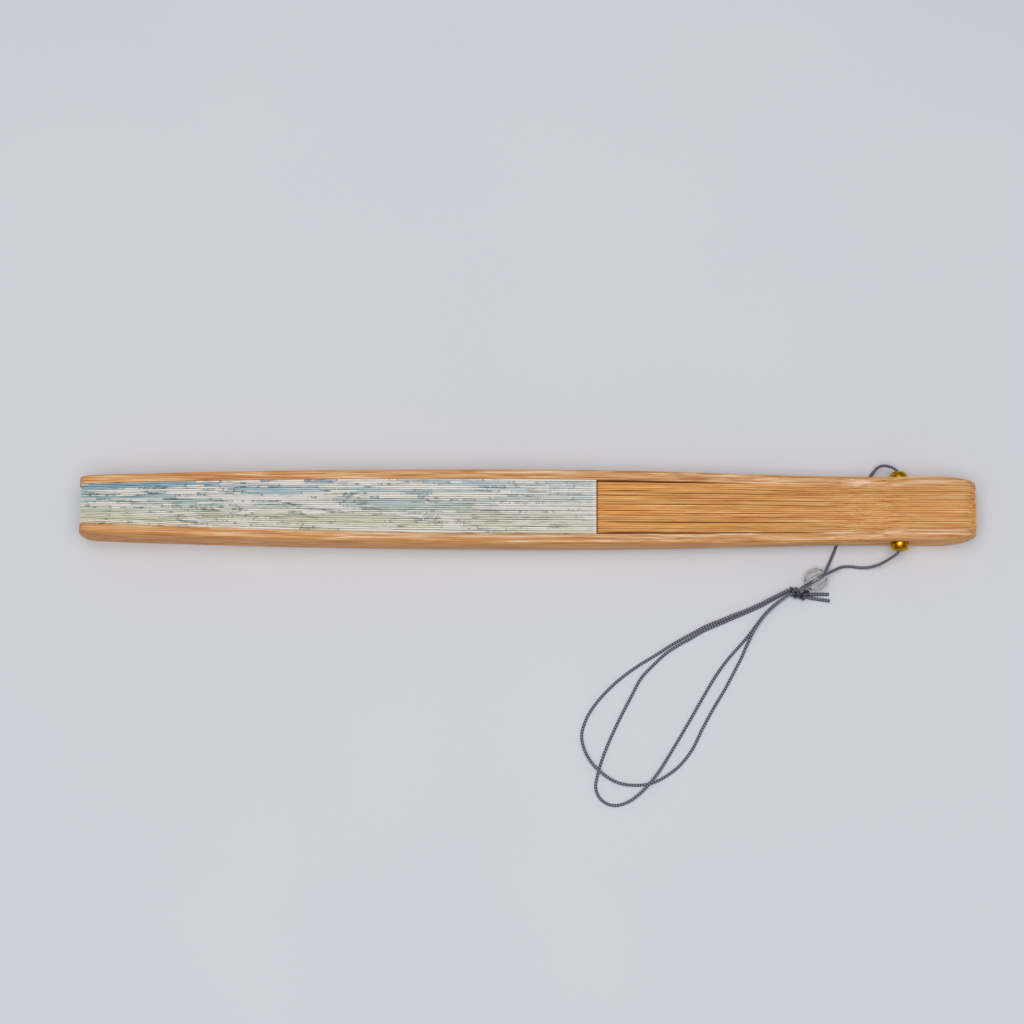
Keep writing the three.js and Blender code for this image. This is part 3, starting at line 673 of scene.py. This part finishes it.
def cord_braid():
    """Grey braid with a fine twist, with painted shade in the grooves and painted light on the crowns of the
    strands.
    """
    material, tree, shader = new_material("cord_braid", Roughness=0.42, Specular_IOR_Level=0.8)
    depth = tree.nodes.new("ShaderNodeAttribute")
    depth.attribute_name = "braid"
    thread = noise(tree, print_place(tree, 6, 24))
    # painted shade and light: near black in the grooves and pale on the crowns, though the cord is one grey
    base = ramp(tree, depth.outputs["Fac"], (0.2, colour(16, 16, 24)), (0.55, colour(72, 72, 88)),
                (0.88, colour(170, 170, 196)))
    shades = ramp(tree, thread, (0.3, 0.55), (0.7, 1.0))
    tree.links.new(mix(tree, 0.8, base, shades, "MULTIPLY"), shader.inputs["Base Color"])
    add_bump(tree, shader, thread, distance=0.00003, strength=0.5)
    return material


def clear_bead():
    """Clear glass, a little uneven."""
    material, tree, shader = new_material("bead_clear", Transmission_Weight=1.0, IOR=1.36)
    shader.inputs["Base Color"].default_value = colour(252, 252, 252)
    haze = noise(tree, place_on_part(tree, (500, 500, 500)))
    tree.links.new(ramp(tree, haze, (0.35, 0.0), (0.75, 0.08)), shader.inputs["Roughness"])
    return material


def floor_grey():
    """Plain pale tabletop with the faintest mottling."""
    material, tree, shader = new_material("floor_grey", Roughness=0.7)
    mottle = noise(tree, place_on_part(tree, (9, 9, 9)))
    tone = ramp(tree, mottle, (0.3, colour(226, 228, 235)), (0.7, colour(229, 231, 237)))
    tree.links.new(tone, shader.inputs["Base Color"])
    return material


# Camera, light and floor

def make_camera():
    data = bpy.data.cameras.new("camera")
    data.lens = SENSOR_WIDTH * FOCAL_LENGTH / IMAGE_WIDTH
    data.sensor_width = SENSOR_WIDTH
    data.clip_start = CLIP_START
    data.clip_end = CLIP_END
    camera = placed("camera", data)
    back = Vector((0, -math.sin(CAMERA_TILT), math.cos(CAMERA_TILT)))
    camera.location = CAMERA_TARGET + back * CAMERA_DISTANCE
    turn = (-back).to_track_quat("-Z", "Y").to_matrix().to_4x4() @ Matrix.Rotation(CAMERA_ROLL, 4, "Z")
    camera.rotation_euler = turn.to_euler()
    bpy.context.scene.camera = camera


def make_softbox():
    data = bpy.data.lights.new("softbox", "AREA")
    data.size = SOFTBOX_SIZE
    data.energy = SOFTBOX_POWER
    light = placed("softbox", data)
    light.location = SOFTBOX_PLACE
    light.rotation_euler = (-SOFTBOX_PLACE).to_track_quat("-Z", "Y").to_euler()


def make_floor():
    s = FLOOR_HALF_SIZE
    mesh = bpy.data.meshes.new("floor")
    mesh.from_pydata([(-s, -s, 0), (s, -s, 0), (s, s, 0), (-s, s, 0)], [], [(0, 1, 2, 3)])
    mesh.materials.append(floor_grey())
    floor = placed("floor", mesh)


def make_world():
    """Even pale light from all round, and a view that keeps the bamboo's full colour."""
    world = bpy.data.worlds.new("studio")
    world.use_nodes = True
    background = world.node_tree.nodes["Background"]
    background.inputs["Color"].default_value = WORLD_COLOUR
    background.inputs["Strength"].default_value = WORLD_STRENGTH
    bpy.context.scene.world = world
    bpy.context.scene.view_settings.view_transform = "Standard"


# Cord, knot and bead

def braid_height(along, around):
    """0 in the grooves to 1 on the crowns of strands that wind both ways, over and under."""
    first = around * BRAID_STRANDS + along / BRAID_PITCH
    second = around * BRAID_STRANDS - along / BRAID_PITCH
    first_on_top = (np.floor(first) + np.floor(second)) % 2 == 0
    across = np.where(first_on_top, first, second) % 1 - 0.5
    lengthwise = np.where(first_on_top, second, first) % 1 - 0.5
    return np.cos(np.pi * across) * (1 - STRAND_DIP + STRAND_DIP * np.cos(np.pi * lengthwise))


def frames(line):
    """Directions along a line and to its side: level, or carried along where the line climbs steeply."""
    along = directions(line)
    level = np.cross(along, (0.0, 0.0, 1.0))
    sizes = np.linalg.norm(level, axis=1)[:, None]
    if sizes.min() > MIN_LEVEL:
        return along, level / sizes
    normal = level[sizes.argmax()]
    normals = []
    for direction in along:
        normal = normal - direction * (normal @ direction)
        normal = normal / np.linalg.norm(normal)
        normals.append(normal)
    return along, np.array(normals)


def braided_tube(line, diameter):
    """Points, faces, UVs and braid heights of a braided cord along a line."""
    count = len(line)
    along, normals = frames(line)
    sides = np.cross(along, normals)
    step = np.linalg.norm(line[1] - line[0])
    run, turn = np.meshgrid(np.arange(count) * step, np.arange(CORD_SIDES) / CORD_SIDES, indexing="ij")
    height = braid_height(run, turn)
    radius = diameter / 2 * (1 - BRAID_DEPTH * (1 - height))
    angle = 2 * np.pi * turn
    out = normals[:, None, :] * np.cos(angle)[..., None] + sides[:, None, :] * np.sin(angle)[..., None]
    verts = (line[:, None, :] + out * radius[..., None]).reshape(-1, 3)
    places = np.stack([run / diameter, turn], -1).reshape(-1, 2)
    return verts, skin(count, CORD_SIDES), places, height.reshape(-1)


def cord_object(name, lines, material):
    """One object from one or more braided cords, given as (line, diameter, shade); a shade below 1 darkens
    the cord's colour as painted shade.
    """
    verts = []
    faces = []
    places = []
    heights = []
    for line, diameter, shade in lines:
        start = sum(len(tube) for tube in verts)
        tube_verts, tube_faces, tube_places, tube_heights = braided_tube(line, diameter)
        verts.append(tube_verts)
        faces += [tuple(i + start for i in face) for face in tube_faces]
        places.append(tube_places)
        heights.append(shade * tube_heights)
    obj = mesh_object(name, np.concatenate(verts), faces, material, CORD_SHARP_ANGLE)
    set_uv(obj, np.concatenate(places))
    # braid heights, times any painted shade, set the cord's colour
    braid = obj.data.attributes.new("braid", "FLOAT", "POINT")
    braid.data.foreach_set("value", np.concatenate(heights).astype(np.float32))
    return obj


def pivot_points(side, route):
    """A stretch of cord that starts inside the pivot and leaves through one cap's mouth."""
    distances = (CORD_START, CAP_BASE / 2, CAP_BASE + CAP_HEIGHT / 3)
    inside = [Vector((PIVOT_X, side * distance, PIVOT_Z)) for distance in distances]
    return inside + [Vector(point) for point in route]


def wrap(centre, axis, radius, turns, length, lean):
    """A coil of cord round an axis, its turns leaning over."""
    centre = np.array(centre)
    axis = np.array(axis)
    up = np.array((0.0, 0.0, 1.0))
    side = np.cross(up, axis)
    line = []
    for share in np.linspace(0, 1, WRAP_STEPS):
        angle = 2 * math.pi * turns * share
        out = side * math.cos(angle) + up * math.sin(angle)
        shift = (share - 0.5) * length + lean * math.cos(angle)
        line.append(centre + axis * shift + out * radius)
    return evenly(np.array(line), CORD_STEP)


def make_knot(material):
    """The strands inside the knot, the wraps round them, a second small knot and the two cut tails."""
    routes = [
        FRONT_CORE_ROUTE, BACK_CORE_ROUTE,
        UPPER_CORE_ROUTE + UPPER_TAIL_ROUTE, LOWER_CORE_ROUTE + LOWER_TAIL_ROUTE,
    ]
    strands = [catmull_rom([Vector(p) for p in route], CORD_STEP) for route in routes]
    wraps = [
        wrap(KNOT_CENTRE, KNOT_AXIS, KNOT_WRAP_RADIUS, KNOT_WRAP_TURNS, KNOT_WRAP_LENGTH, KNOT_WRAP_LEAN),
        wrap(TAIL_KNOT_CENTRE, TAIL_KNOT_AXIS, TAIL_WRAP_RADIUS, TAIL_WRAP_TURNS, TAIL_WRAP_LENGTH,
             TAIL_WRAP_LEAN),
    ]
    lines = [(line, CORD_DIAMETER, 1.0) for line in strands[:2]]
    lines += [(line, TAIL_DIAMETER, 1.0) for line in strands[2:]]
    # the wraps are painted darker, as shade
    lines += [(line, WRAP_DIAMETER, WRAP_PAINTED_SHADE) for line in wraps]
    knot = cord_object("cord_knot_wraps", lines, material)
    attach(knot, "back_guard_body")
    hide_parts("cord_knot")
    return knot


def make_bead():
    """A round bead with a drilled hole whose rims are rounded."""
    corner = Vector((BEAD_BORE_RADIUS, math.sqrt(BEAD_RADIUS ** 2 - BEAD_BORE_RADIUS ** 2)))
    limit = math.acos(BEAD_BORE_RADIUS / BEAD_RADIUS) - BEAD_RIM / BEAD_RADIUS
    angles = np.linspace(-limit, limit, BEAD_STEPS)
    profile = [(BEAD_RADIUS * math.cos(angle), BEAD_RADIUS * math.sin(angle)) for angle in angles]
    start = Vector(profile[-1])
    end = corner - Vector((0, BEAD_RIM))
    shares = np.linspace(0.2, 1, BEAD_RIM_STEPS)
    rim = [start.lerp(corner, share).lerp(corner.lerp(end, share), share) for share in shares]
    profile += [tuple(p) for p in rim]
    profile += [(BEAD_BORE_RADIUS, end.y * share) for share in np.linspace(0.8, -0.8, BEAD_BORE_STEPS)]
    profile += [(p.x, -p.y) for p in rim[::-1]]
    bead = lathe("bead_glass", profile, BEAD_SIDES, BEAD_CENTRE, BEAD_AXIS, clear_bead())
    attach(bead, "back_guard_body")
    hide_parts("bead")
    return bead


def make_cords():
    """The four free stretches of cord, with the knot and the bead on them."""
    material = cord_braid()
    knot = make_knot(material)
    bead = make_bead()
    stretches = {
        "cord_front": pivot_points(-1, FRONT_ROUTE),
        "cord_back": pivot_points(1, BACK_ROUTE),
        "cord_loop_long": [Vector(p) for p in LONG_LOOP_ROUTE],
        "cord_loop_short": [Vector(p) for p in SHORT_LOOP_ROUTE],
    }
    for node, points in stretches.items():
        line = catmull_rom(points, CORD_STEP)
        cord = cord_object(node + "_braid", [(line, CORD_DIAMETER, 1.0)], material)
        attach(cord, "back_guard_body")
        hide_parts(node)
        through_pivot = node in ("cord_front", "cord_back")
        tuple(points[PIVOT_POINTS] if through_pivot else points[0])


# Shape of the sticks, as functions of u

def centre_height(u):
    """Height of a stick's middle above the table."""
    return lerp(HEAD_DEPTH / 2, TIP_DEPTH / 2, (u + HEAD_REACH) / (TIP_REACH + HEAD_REACH))


def arch(u):
    """How far a stick's edges curve in: most at the waist, less along the leaf and not at the tip."""
    waist = smooth((u - ARCH_RISE_START) / (WAIST_REACH - ARCH_RISE_START))
    leaf = smooth((u - WAIST_REACH) / (LEAF_START - WAIST_REACH))
    tip = smooth((u - ARCH_FALL_START) / ARCH_FALL_LENGTH)
    return WAIST_ARCH * waist - (WAIST_ARCH - LEAF_ARCH) * leaf - LEAF_ARCH * tip


def corner_drop(length, depth, distance):
    """How far a rounded corner has fallen at a distance from the end."""
    run = min(1, max(0, 1 - distance / length))
    return depth * (1 - math.sqrt(1 - run ** 2))


def guard_half_depth(u):
    at_head = corner_drop(HEAD_CORNER, HEAD_CORNER, u + HEAD_REACH)
    at_tip = corner_drop(TIP_NOSE_LENGTH, TIP_NOSE_DEPTH, TIP_REACH + TIP_NOSE_REACH - u)
    return centre_height(u) - arch(u) - at_head - at_tip


def leaf_half_depth(u):
    inner = guard_half_depth(LEAF_START) - LEAF_INNER_INSET
    outer = TIP_DEPTH / 2 - LEAF_OUTER_INSET
    return lerp(inner, outer, (u - LEAF_START) / (LEAF_END - LEAF_START))


def rib_half_depth(u):
    blade_start = leaf_half_depth(LEAF_START) - BLADE_MARGIN
    if u >= LEAF_START:
        return lerp(blade_start, BLADE_END_DEPTH / 2, (u - LEAF_START) / (BLADE_END - LEAF_START))
    recess = RIB_RECESS * smooth((u - RIB_FULL_END) / (SHOULDER - RIB_FULL_END))
    return lerp(guard_half_depth(u) - recess, blade_start, max(0, (u - SHOULDER) / SHOULDER_LENGTH))


def half_stack(u):
    """Half the thickness of all the ribs and pleats together."""
    if u < BELLY_REACH:
        share = max(0, (u - HEAD_FLAT) / (BELLY_REACH - HEAD_FLAT))
        return lerp(HEAD_STACK, BELLY_STACK, math.sin(share * math.pi / 2)) / 2
    share = (u - BELLY_REACH) / (TIP_REACH - BELLY_REACH)
    return lerp(BELLY_STACK, TIP_STACK, share ** 2) / 2


def pleat_pitch(u):
    return (2 * half_stack(u) - PAPER - 2 * PLEAT_GAP) / PLEAT_COUNT


def pleat_back(k, u):
    """Where pleat k starts, in y."""
    return half_stack(u) - PLEAT_GAP - k * pleat_pitch(u)


def rib_thickness(u):
    if u <= SHOULDER:
        share = max(0, (u - HEAD_FLAT) / (SHOULDER - HEAD_FLAT))
        return lerp(RIB_THICKNESS, RIB_SHOULDER_THICKNESS, share)
    return lerp(RIB_SHOULDER_THICKNESS, BLADE_THICKNESS, min(1, (u - SHOULDER) / SHOULDER_LENGTH))


def rib_middle(k, u):
    at_head = half_stack(u) * (1 - (2 * k - 1) / RIB_COUNT)
    pleat_middle = pleat_back(k, u) - (pleat_pitch(u) - PLEAT_GAP) / 2
    at_leaf = pleat_middle + (rib_thickness(u) - BLADE_THICKNESS) / 2
    return lerp(at_head, at_leaf, smooth((u - RIB_FULL_END) / (SHOULDER - RIB_FULL_END)))


def guard_thickness(u):
    taper = max(0, (u - BELLY_REACH) / (TIP_REACH - BELLY_REACH))
    full = lerp(GUARD_THICKNESS, GUARD_TIP_THICKNESS, taper)
    at_head = max(0, 1 - (u + HEAD_REACH) / HEAD_ROUND_LENGTH)
    at_tip = max(0, 1 - (TIP_REACH - u) / TIP_ROUND_LENGTH)
    return full - HEAD_ROUND_DROP * at_head ** 2 - TIP_ROUND_DROP * at_tip ** 2


# Guards and ribs

def rounded_ring(side, inner, outer, low, high, inner_edge, outer_edge):
    """A rounded rectangle of (y, z) points; inner and outer are distances from the fan's middle."""
    corners = [
        (inner + inner_edge, low + inner_edge, inner_edge, 180),
        (outer - outer_edge, low + outer_edge, outer_edge, 270),
        (outer - outer_edge, high - outer_edge, outer_edge, 0),
        (inner + inner_edge, high - inner_edge, inner_edge, 90),
    ]
    ring = []
    for across, up, radius, start in corners:
        for i in range(CORNER_STEPS + 1):
            angle = math.radians(start + 90 * i / CORNER_STEPS)
            ring.append((side * (across + radius * math.cos(angle)), up + radius * math.sin(angle)))
    return ring


def make_guard(name, node, side, body, material):
    """One of the two thick outer sticks."""
    def ring_at(u):
        half = guard_half_depth(u)
        inner = half_stack(u)
        outer = inner + guard_thickness(u)
        edge = min(GUARD_EDGE, guard_thickness(u) / 3)
        low = centre_height(u) - half
        high = centre_height(u) + half
        return rounded_ring(side, inner, outer, low, high, GUARD_INNER_EDGE, edge)
    nose = TIP_REACH + TIP_NOSE_REACH
    tip_start = TIP_REACH - TIP_ROUND_LENGTH
    us = rounded_end(-HEAD_REACH, HEAD_CORNER, 1)
    us += spaced(HEAD_CORNER - HEAD_REACH, LEAF_START, GUARD_STATIONS[0])
    us += spaced(LEAF_START, tip_start, GUARD_STATIONS[1])
    us += spaced(tip_start, nose - TIP_NOSE_LENGTH, GUARD_STATIONS[2])
    us += rounded_end(nose, TIP_NOSE_LENGTH, -1, NOSE_STATIONS)[::-1]
    guard = loft(name, us, ring_at, material)
    drill(guard)
    mark_skin(guard)
    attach(guard, body)
    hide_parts(node)


def mark_skin(guard):
    """Marks a guard's outer face, where shade is painted, 1 on the face and 0 from its rounded edge inwards.
    """
    shares = []
    for vertex in guard.data.vertices:
        u = PIVOT_X - vertex.co.x
        below = half_stack(u) + guard_thickness(u) - abs(vertex.co.y)
        shares.append(1 - min(1, max(0, below / GUARD_EDGE)))
    # the skin attribute holds where shade is painted on the outer face
    share = guard.data.attributes.new("skin", "FLOAT", "POINT")
    share.data.foreach_set("value", shares)


def group_shift(k, groups):
    """How far rib k is drawn to the middle of its group, in free gaps."""
    first = 1
    for size in groups:
        if k < first + size:
            return RIB_PULL * (k - first - (size - 1) / 2)
        first += size


def rib_shift(k, u):
    """How far rib k lies from its even place at u, in free gaps."""
    marks = [
        (-HEAD_REACH, HEAD_STRAY * chance(k, "head shift")),
        (NECK_PLACE, NECK_STRAY * chance(k, "neck shift")),
    ]
    marks += [(place, lean + group_shift(k, groups)) for place, lean, groups in RIB_GROUPS]
    marks.append((SHOULDER, 0))
    for (start, before), (end, after) in zip(marks, marks[1:]):
        if u <= end:
            return lerp(before, after, smooth((u - start) / (end - start)))
    return 0


def make_rib(k, material):
    """A thin stick that goes on as a narrow blade inside the leaf."""
    head = HEAD_REACH - RIB_RAGGED * (0.5 + 0.5 * chance(k, "head"))
    lift = RIB_LIFT * chance(k, "lift")

    def ring_at(u):
        half = rib_half_depth(max(u, RIB_END_LENGTH - HEAD_REACH))
        thick = rib_thickness(u)
        gap = 2 * half_stack(u) / (RIB_COUNT + 1) - thick
        middle = rib_middle(k, u) + gap * rib_shift(k, u)
        shift = lift * smooth((u - RIB_LIFT_START) / RIB_LIFT_LENGTH)
        low = centre_height(u) - half - shift
        high = centre_height(u) + half + shift
        edge = min(RIB_EDGE, thick / 3)
        y0 = middle - thick / 2
        y1 = middle + thick / 2
        return [
            (y0 + edge, low), (y1 - edge, low), (y1, low + edge), (y1, high - edge),
            (y1 - edge, high), (y0 + edge, high), (y0, high - edge), (y0, low + edge),
        ]
    us = rounded_end(-head, HEAD_CORNER, 1)
    us += spaced(HEAD_CORNER - head, SHOULDER, RIB_STATIONS[0])
    us += spaced(SHOULDER, LEAF_START, RIB_STATIONS[1])
    us += spaced(LEAF_START, BLADE_END, RIB_STATIONS[2]) + [BLADE_END]
    rib = loft(f"rib_{k:02d}_bamboo", us, ring_at, material)
    drill(rib)
    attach(rib, f"stick_{k:02d}")
    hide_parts(f"rib_{k:02d}")


# Leaf: each pleat is a back wall with its top fold, which rides on its stick,
# and a front wall down to the foot of the next pleat, which is not attached to a stick

def strip(points, thickness):
    """Both sides of a thin sheet along a line of (y, z) points, as one closed ring."""
    line = np.array(points)
    along = directions(line)
    across = np.stack([-along[:, 1], along[:, 0]], 1) * thickness / 2
    return np.concatenate([line + across, (line - across)[::-1]])


def leaf_heights(k, u):
    """Bottom and top of pleat k."""
    half = leaf_half_depth(u)
    uneven = FOLD_UNEVEN * lerp(chance(k, "fold"), waver(k, u, "fold"), FOLD_WAVER)
    return centre_height(u) - half, centre_height(u) + half + uneven


def waver(k, u, name):
    """A slow random change along pleat k, from -1 to 1."""
    place = (u - LEAF_START) / WAVER_LENGTH
    step = math.floor(place)
    return lerp(chance(k, name, step), chance(k, name, step + 1), smooth(place - step))


def fold_sides(k, u):
    """Middles of the two walls under the top fold of pleat k, in y."""
    back = pleat_back(k, u) - PAPER / 2
    slant = WALL_SLANT * (1 + SLANT_WAVER * waver(k, u, "slant"))
    front = pleat_back(k, u) - pleat_pitch(u) * (1 - slant) + PLEAT_GAP + PAPER / 2
    return back, front


def back_wall_line(k, u):
    """(y, z, fold count) from the foot that meets the pleat before, up the wall and over the top fold."""
    low, high = leaf_heights(k, u)
    back, front = fold_sides(k, u)
    radius = (back - front) / 2
    crown = high - PAPER / 2 - radius * FOLD_FLATNESS
    foot = low + PAPER / 2
    points = []
    if k > 0:
        points = [(back + PLEAT_GAP + PAPER, foot, 0), (back + PAPER / 3, foot, 0)]
    points.append((back, foot + PAPER / 3, 0))
    points.append((back, lerp(foot, crown, 0.5), 0.5))
    points.append((back, crown, 1 - CROWN_SHARE))
    if k < PLEAT_COUNT:
        for i in range(1, CROWN_STEPS + 1):
            angle = math.pi * i / CROWN_STEPS
            rise = radius * FOLD_FLATNESS * math.sin(angle)
            share = lerp(1 - CROWN_SHARE, 1 + CROWN_SHARE, i / CROWN_STEPS)
            points.append((lerp(back, front, 0.5) + radius * math.cos(angle), crown + rise, share))
    else:
        points.append((back, high, 1))
    return [(y, z, 2 * k + share) for y, z, share in points]


def front_wall_line(k, u):
    """(y, z, fold count) from the top fold down to the foot of the next pleat."""
    low, high = leaf_heights(k, u)
    back, front = fold_sides(k, u)
    top = high - PAPER / 2 - (back - front) / 2 * FOLD_FLATNESS
    bottom = low + PAPER
    foot = pleat_back(k + 1, u) + PLEAT_GAP + PAPER / 2
    points = []
    for i in range(WALL_STEPS + 1):
        share = i / WALL_STEPS
        fold_count = 2 * k + lerp(1 + CROWN_SHARE, 2, share)
        points.append((lerp(front, foot, share), lerp(top, bottom, share), fold_count))
    return points


def leaf_sheet(name, line_at, material):
    """One wall of the leaf, with its place on the print."""
    us = spaced(LEAF_START, LEAF_END, LEAF_STATIONS) + [LEAF_END]
    sheet = loft(name, us, lambda u: strip([p[:2] for p in line_at(u)], PAPER), material)
    counts = [p[2] for p in line_at(LEAF_START)]
    places = [(count, (u - LEAF_START) * CENTIMETRES) for u in us for count in counts + counts[::-1]]
    set_uv(sheet, places, ends=(counts[0], 0))
    return sheet


def stick_body(k):
    if k == 0:
        return "back_guard_body"
    return "front_guard_body" if k == PLEAT_COUNT else f"stick_{k:02d}"


def bend_front_wall(wall, k):
    """Bakes the wall's placement into its mesh; the line of its top edge is worked out but not used."""
    def top_at(u):
        return Vector((PIVOT_X - u, 0, front_wall_line(k, u)[0][1]))
    top = top_at(LEAF_START)
    along = (top_at(LEAF_END) - top).normalized()
    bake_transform(wall)


def make_leaf():
    """All pleats, and the end panel on the front guard."""
    material = leaf_paper()
    for k in range(PLEAT_COUNT + 1):
        node = f"leaf_pleat_{k:02d}" if k < PLEAT_COUNT else "leaf_end_panel"
        back = leaf_sheet(node + "_back", lambda u: back_wall_line(k, u), material)
        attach(back, stick_body(k))
        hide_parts(node)
        if k < PLEAT_COUNT:
            front = leaf_sheet(node + "_front", lambda u: front_wall_line(k, u), material)
            bend_front_wall(front, k)
            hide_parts(node)


# Pivot

def make_pivot():
    """The tube that all sticks turn on, and a cap on each guard."""
    material = pivot_brass()
    half = CAP_BASE + CAP_HEIGHT - CAP_LIP - CAP_FIT
    profile = [
        (TUBE_BORE_RADIUS, -half), (TUBE_RADIUS, -half), (TUBE_RADIUS, half), (TUBE_BORE_RADIUS, half),
    ]
    centre = (PIVOT_X, 0, PIVOT_Z)
    tube = lathe("pivot_tube_brass", profile, TUBE_SIDES, centre, (0, 1, 0), material)
    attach(tube, "back_guard_body")
    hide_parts("pivot_tube")
    for name, side in (("back", 1), ("front", -1)):
        cap = make_cap(name, side, material)
        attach(cap, "back_guard_body")
        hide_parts("pivot_cap_" + name)


def make_cap(name, side, material):
    """A domed brass cap with a rolled lip round its mouth."""
    seat = TUBE_RADIUS + CAP_FIT
    inside = CAP_HEIGHT - CAP_LIP - CAP_LIP_WALL
    profile = [
        (seat, 0), (CAP_RADIUS - CAP_CHAMFER, 0), (CAP_RADIUS, CAP_CHAMFER_HEIGHT), (CAP_RADIUS, CAP_RIM),
    ]
    for i in range(1, DOME_STEPS + 1):
        angle = math.pi / 2 * i / DOME_STEPS
        radius = CAP_MOUTH_RADIUS + (CAP_RADIUS - CAP_MOUTH_RADIUS) * math.cos(angle)
        profile.append((radius, CAP_RIM + (CAP_HEIGHT - CAP_RIM) * math.sin(angle)))
    for i in range(1, LIP_STEPS + 1):
        angle = math.pi / 2 * i / LIP_STEPS
        radius = CAP_MOUTH_RADIUS - (CAP_MOUTH_RADIUS - TUBE_BORE_RADIUS) * math.sin(angle)
        profile.append((radius, CAP_HEIGHT - CAP_LIP * (1 - math.cos(angle))))
    profile += [(TUBE_BORE_RADIUS, inside), (seat, inside)]
    centre = (PIVOT_X, side * CAP_BASE, PIVOT_Z)
    piece = f"pivot_cap_{name}_brass"
    return lathe(piece, profile, CAP_SIDES, centre, (0, side, 0), material)


make_camera()
make_floor()
make_world()
make_softbox()
make_cords()
guards = guard_bamboo()
make_guard("guard_back_bamboo", "guard_back", 1, "back_guard_body", guards)
make_guard("guard_front_bamboo", "guard_front", -1, "front_guard_body", guards)
ribs = rib_bamboo()
for number in range(1, RIB_COUNT + 1):
    make_rib(number, ribs)
make_leaf()
make_pivot()
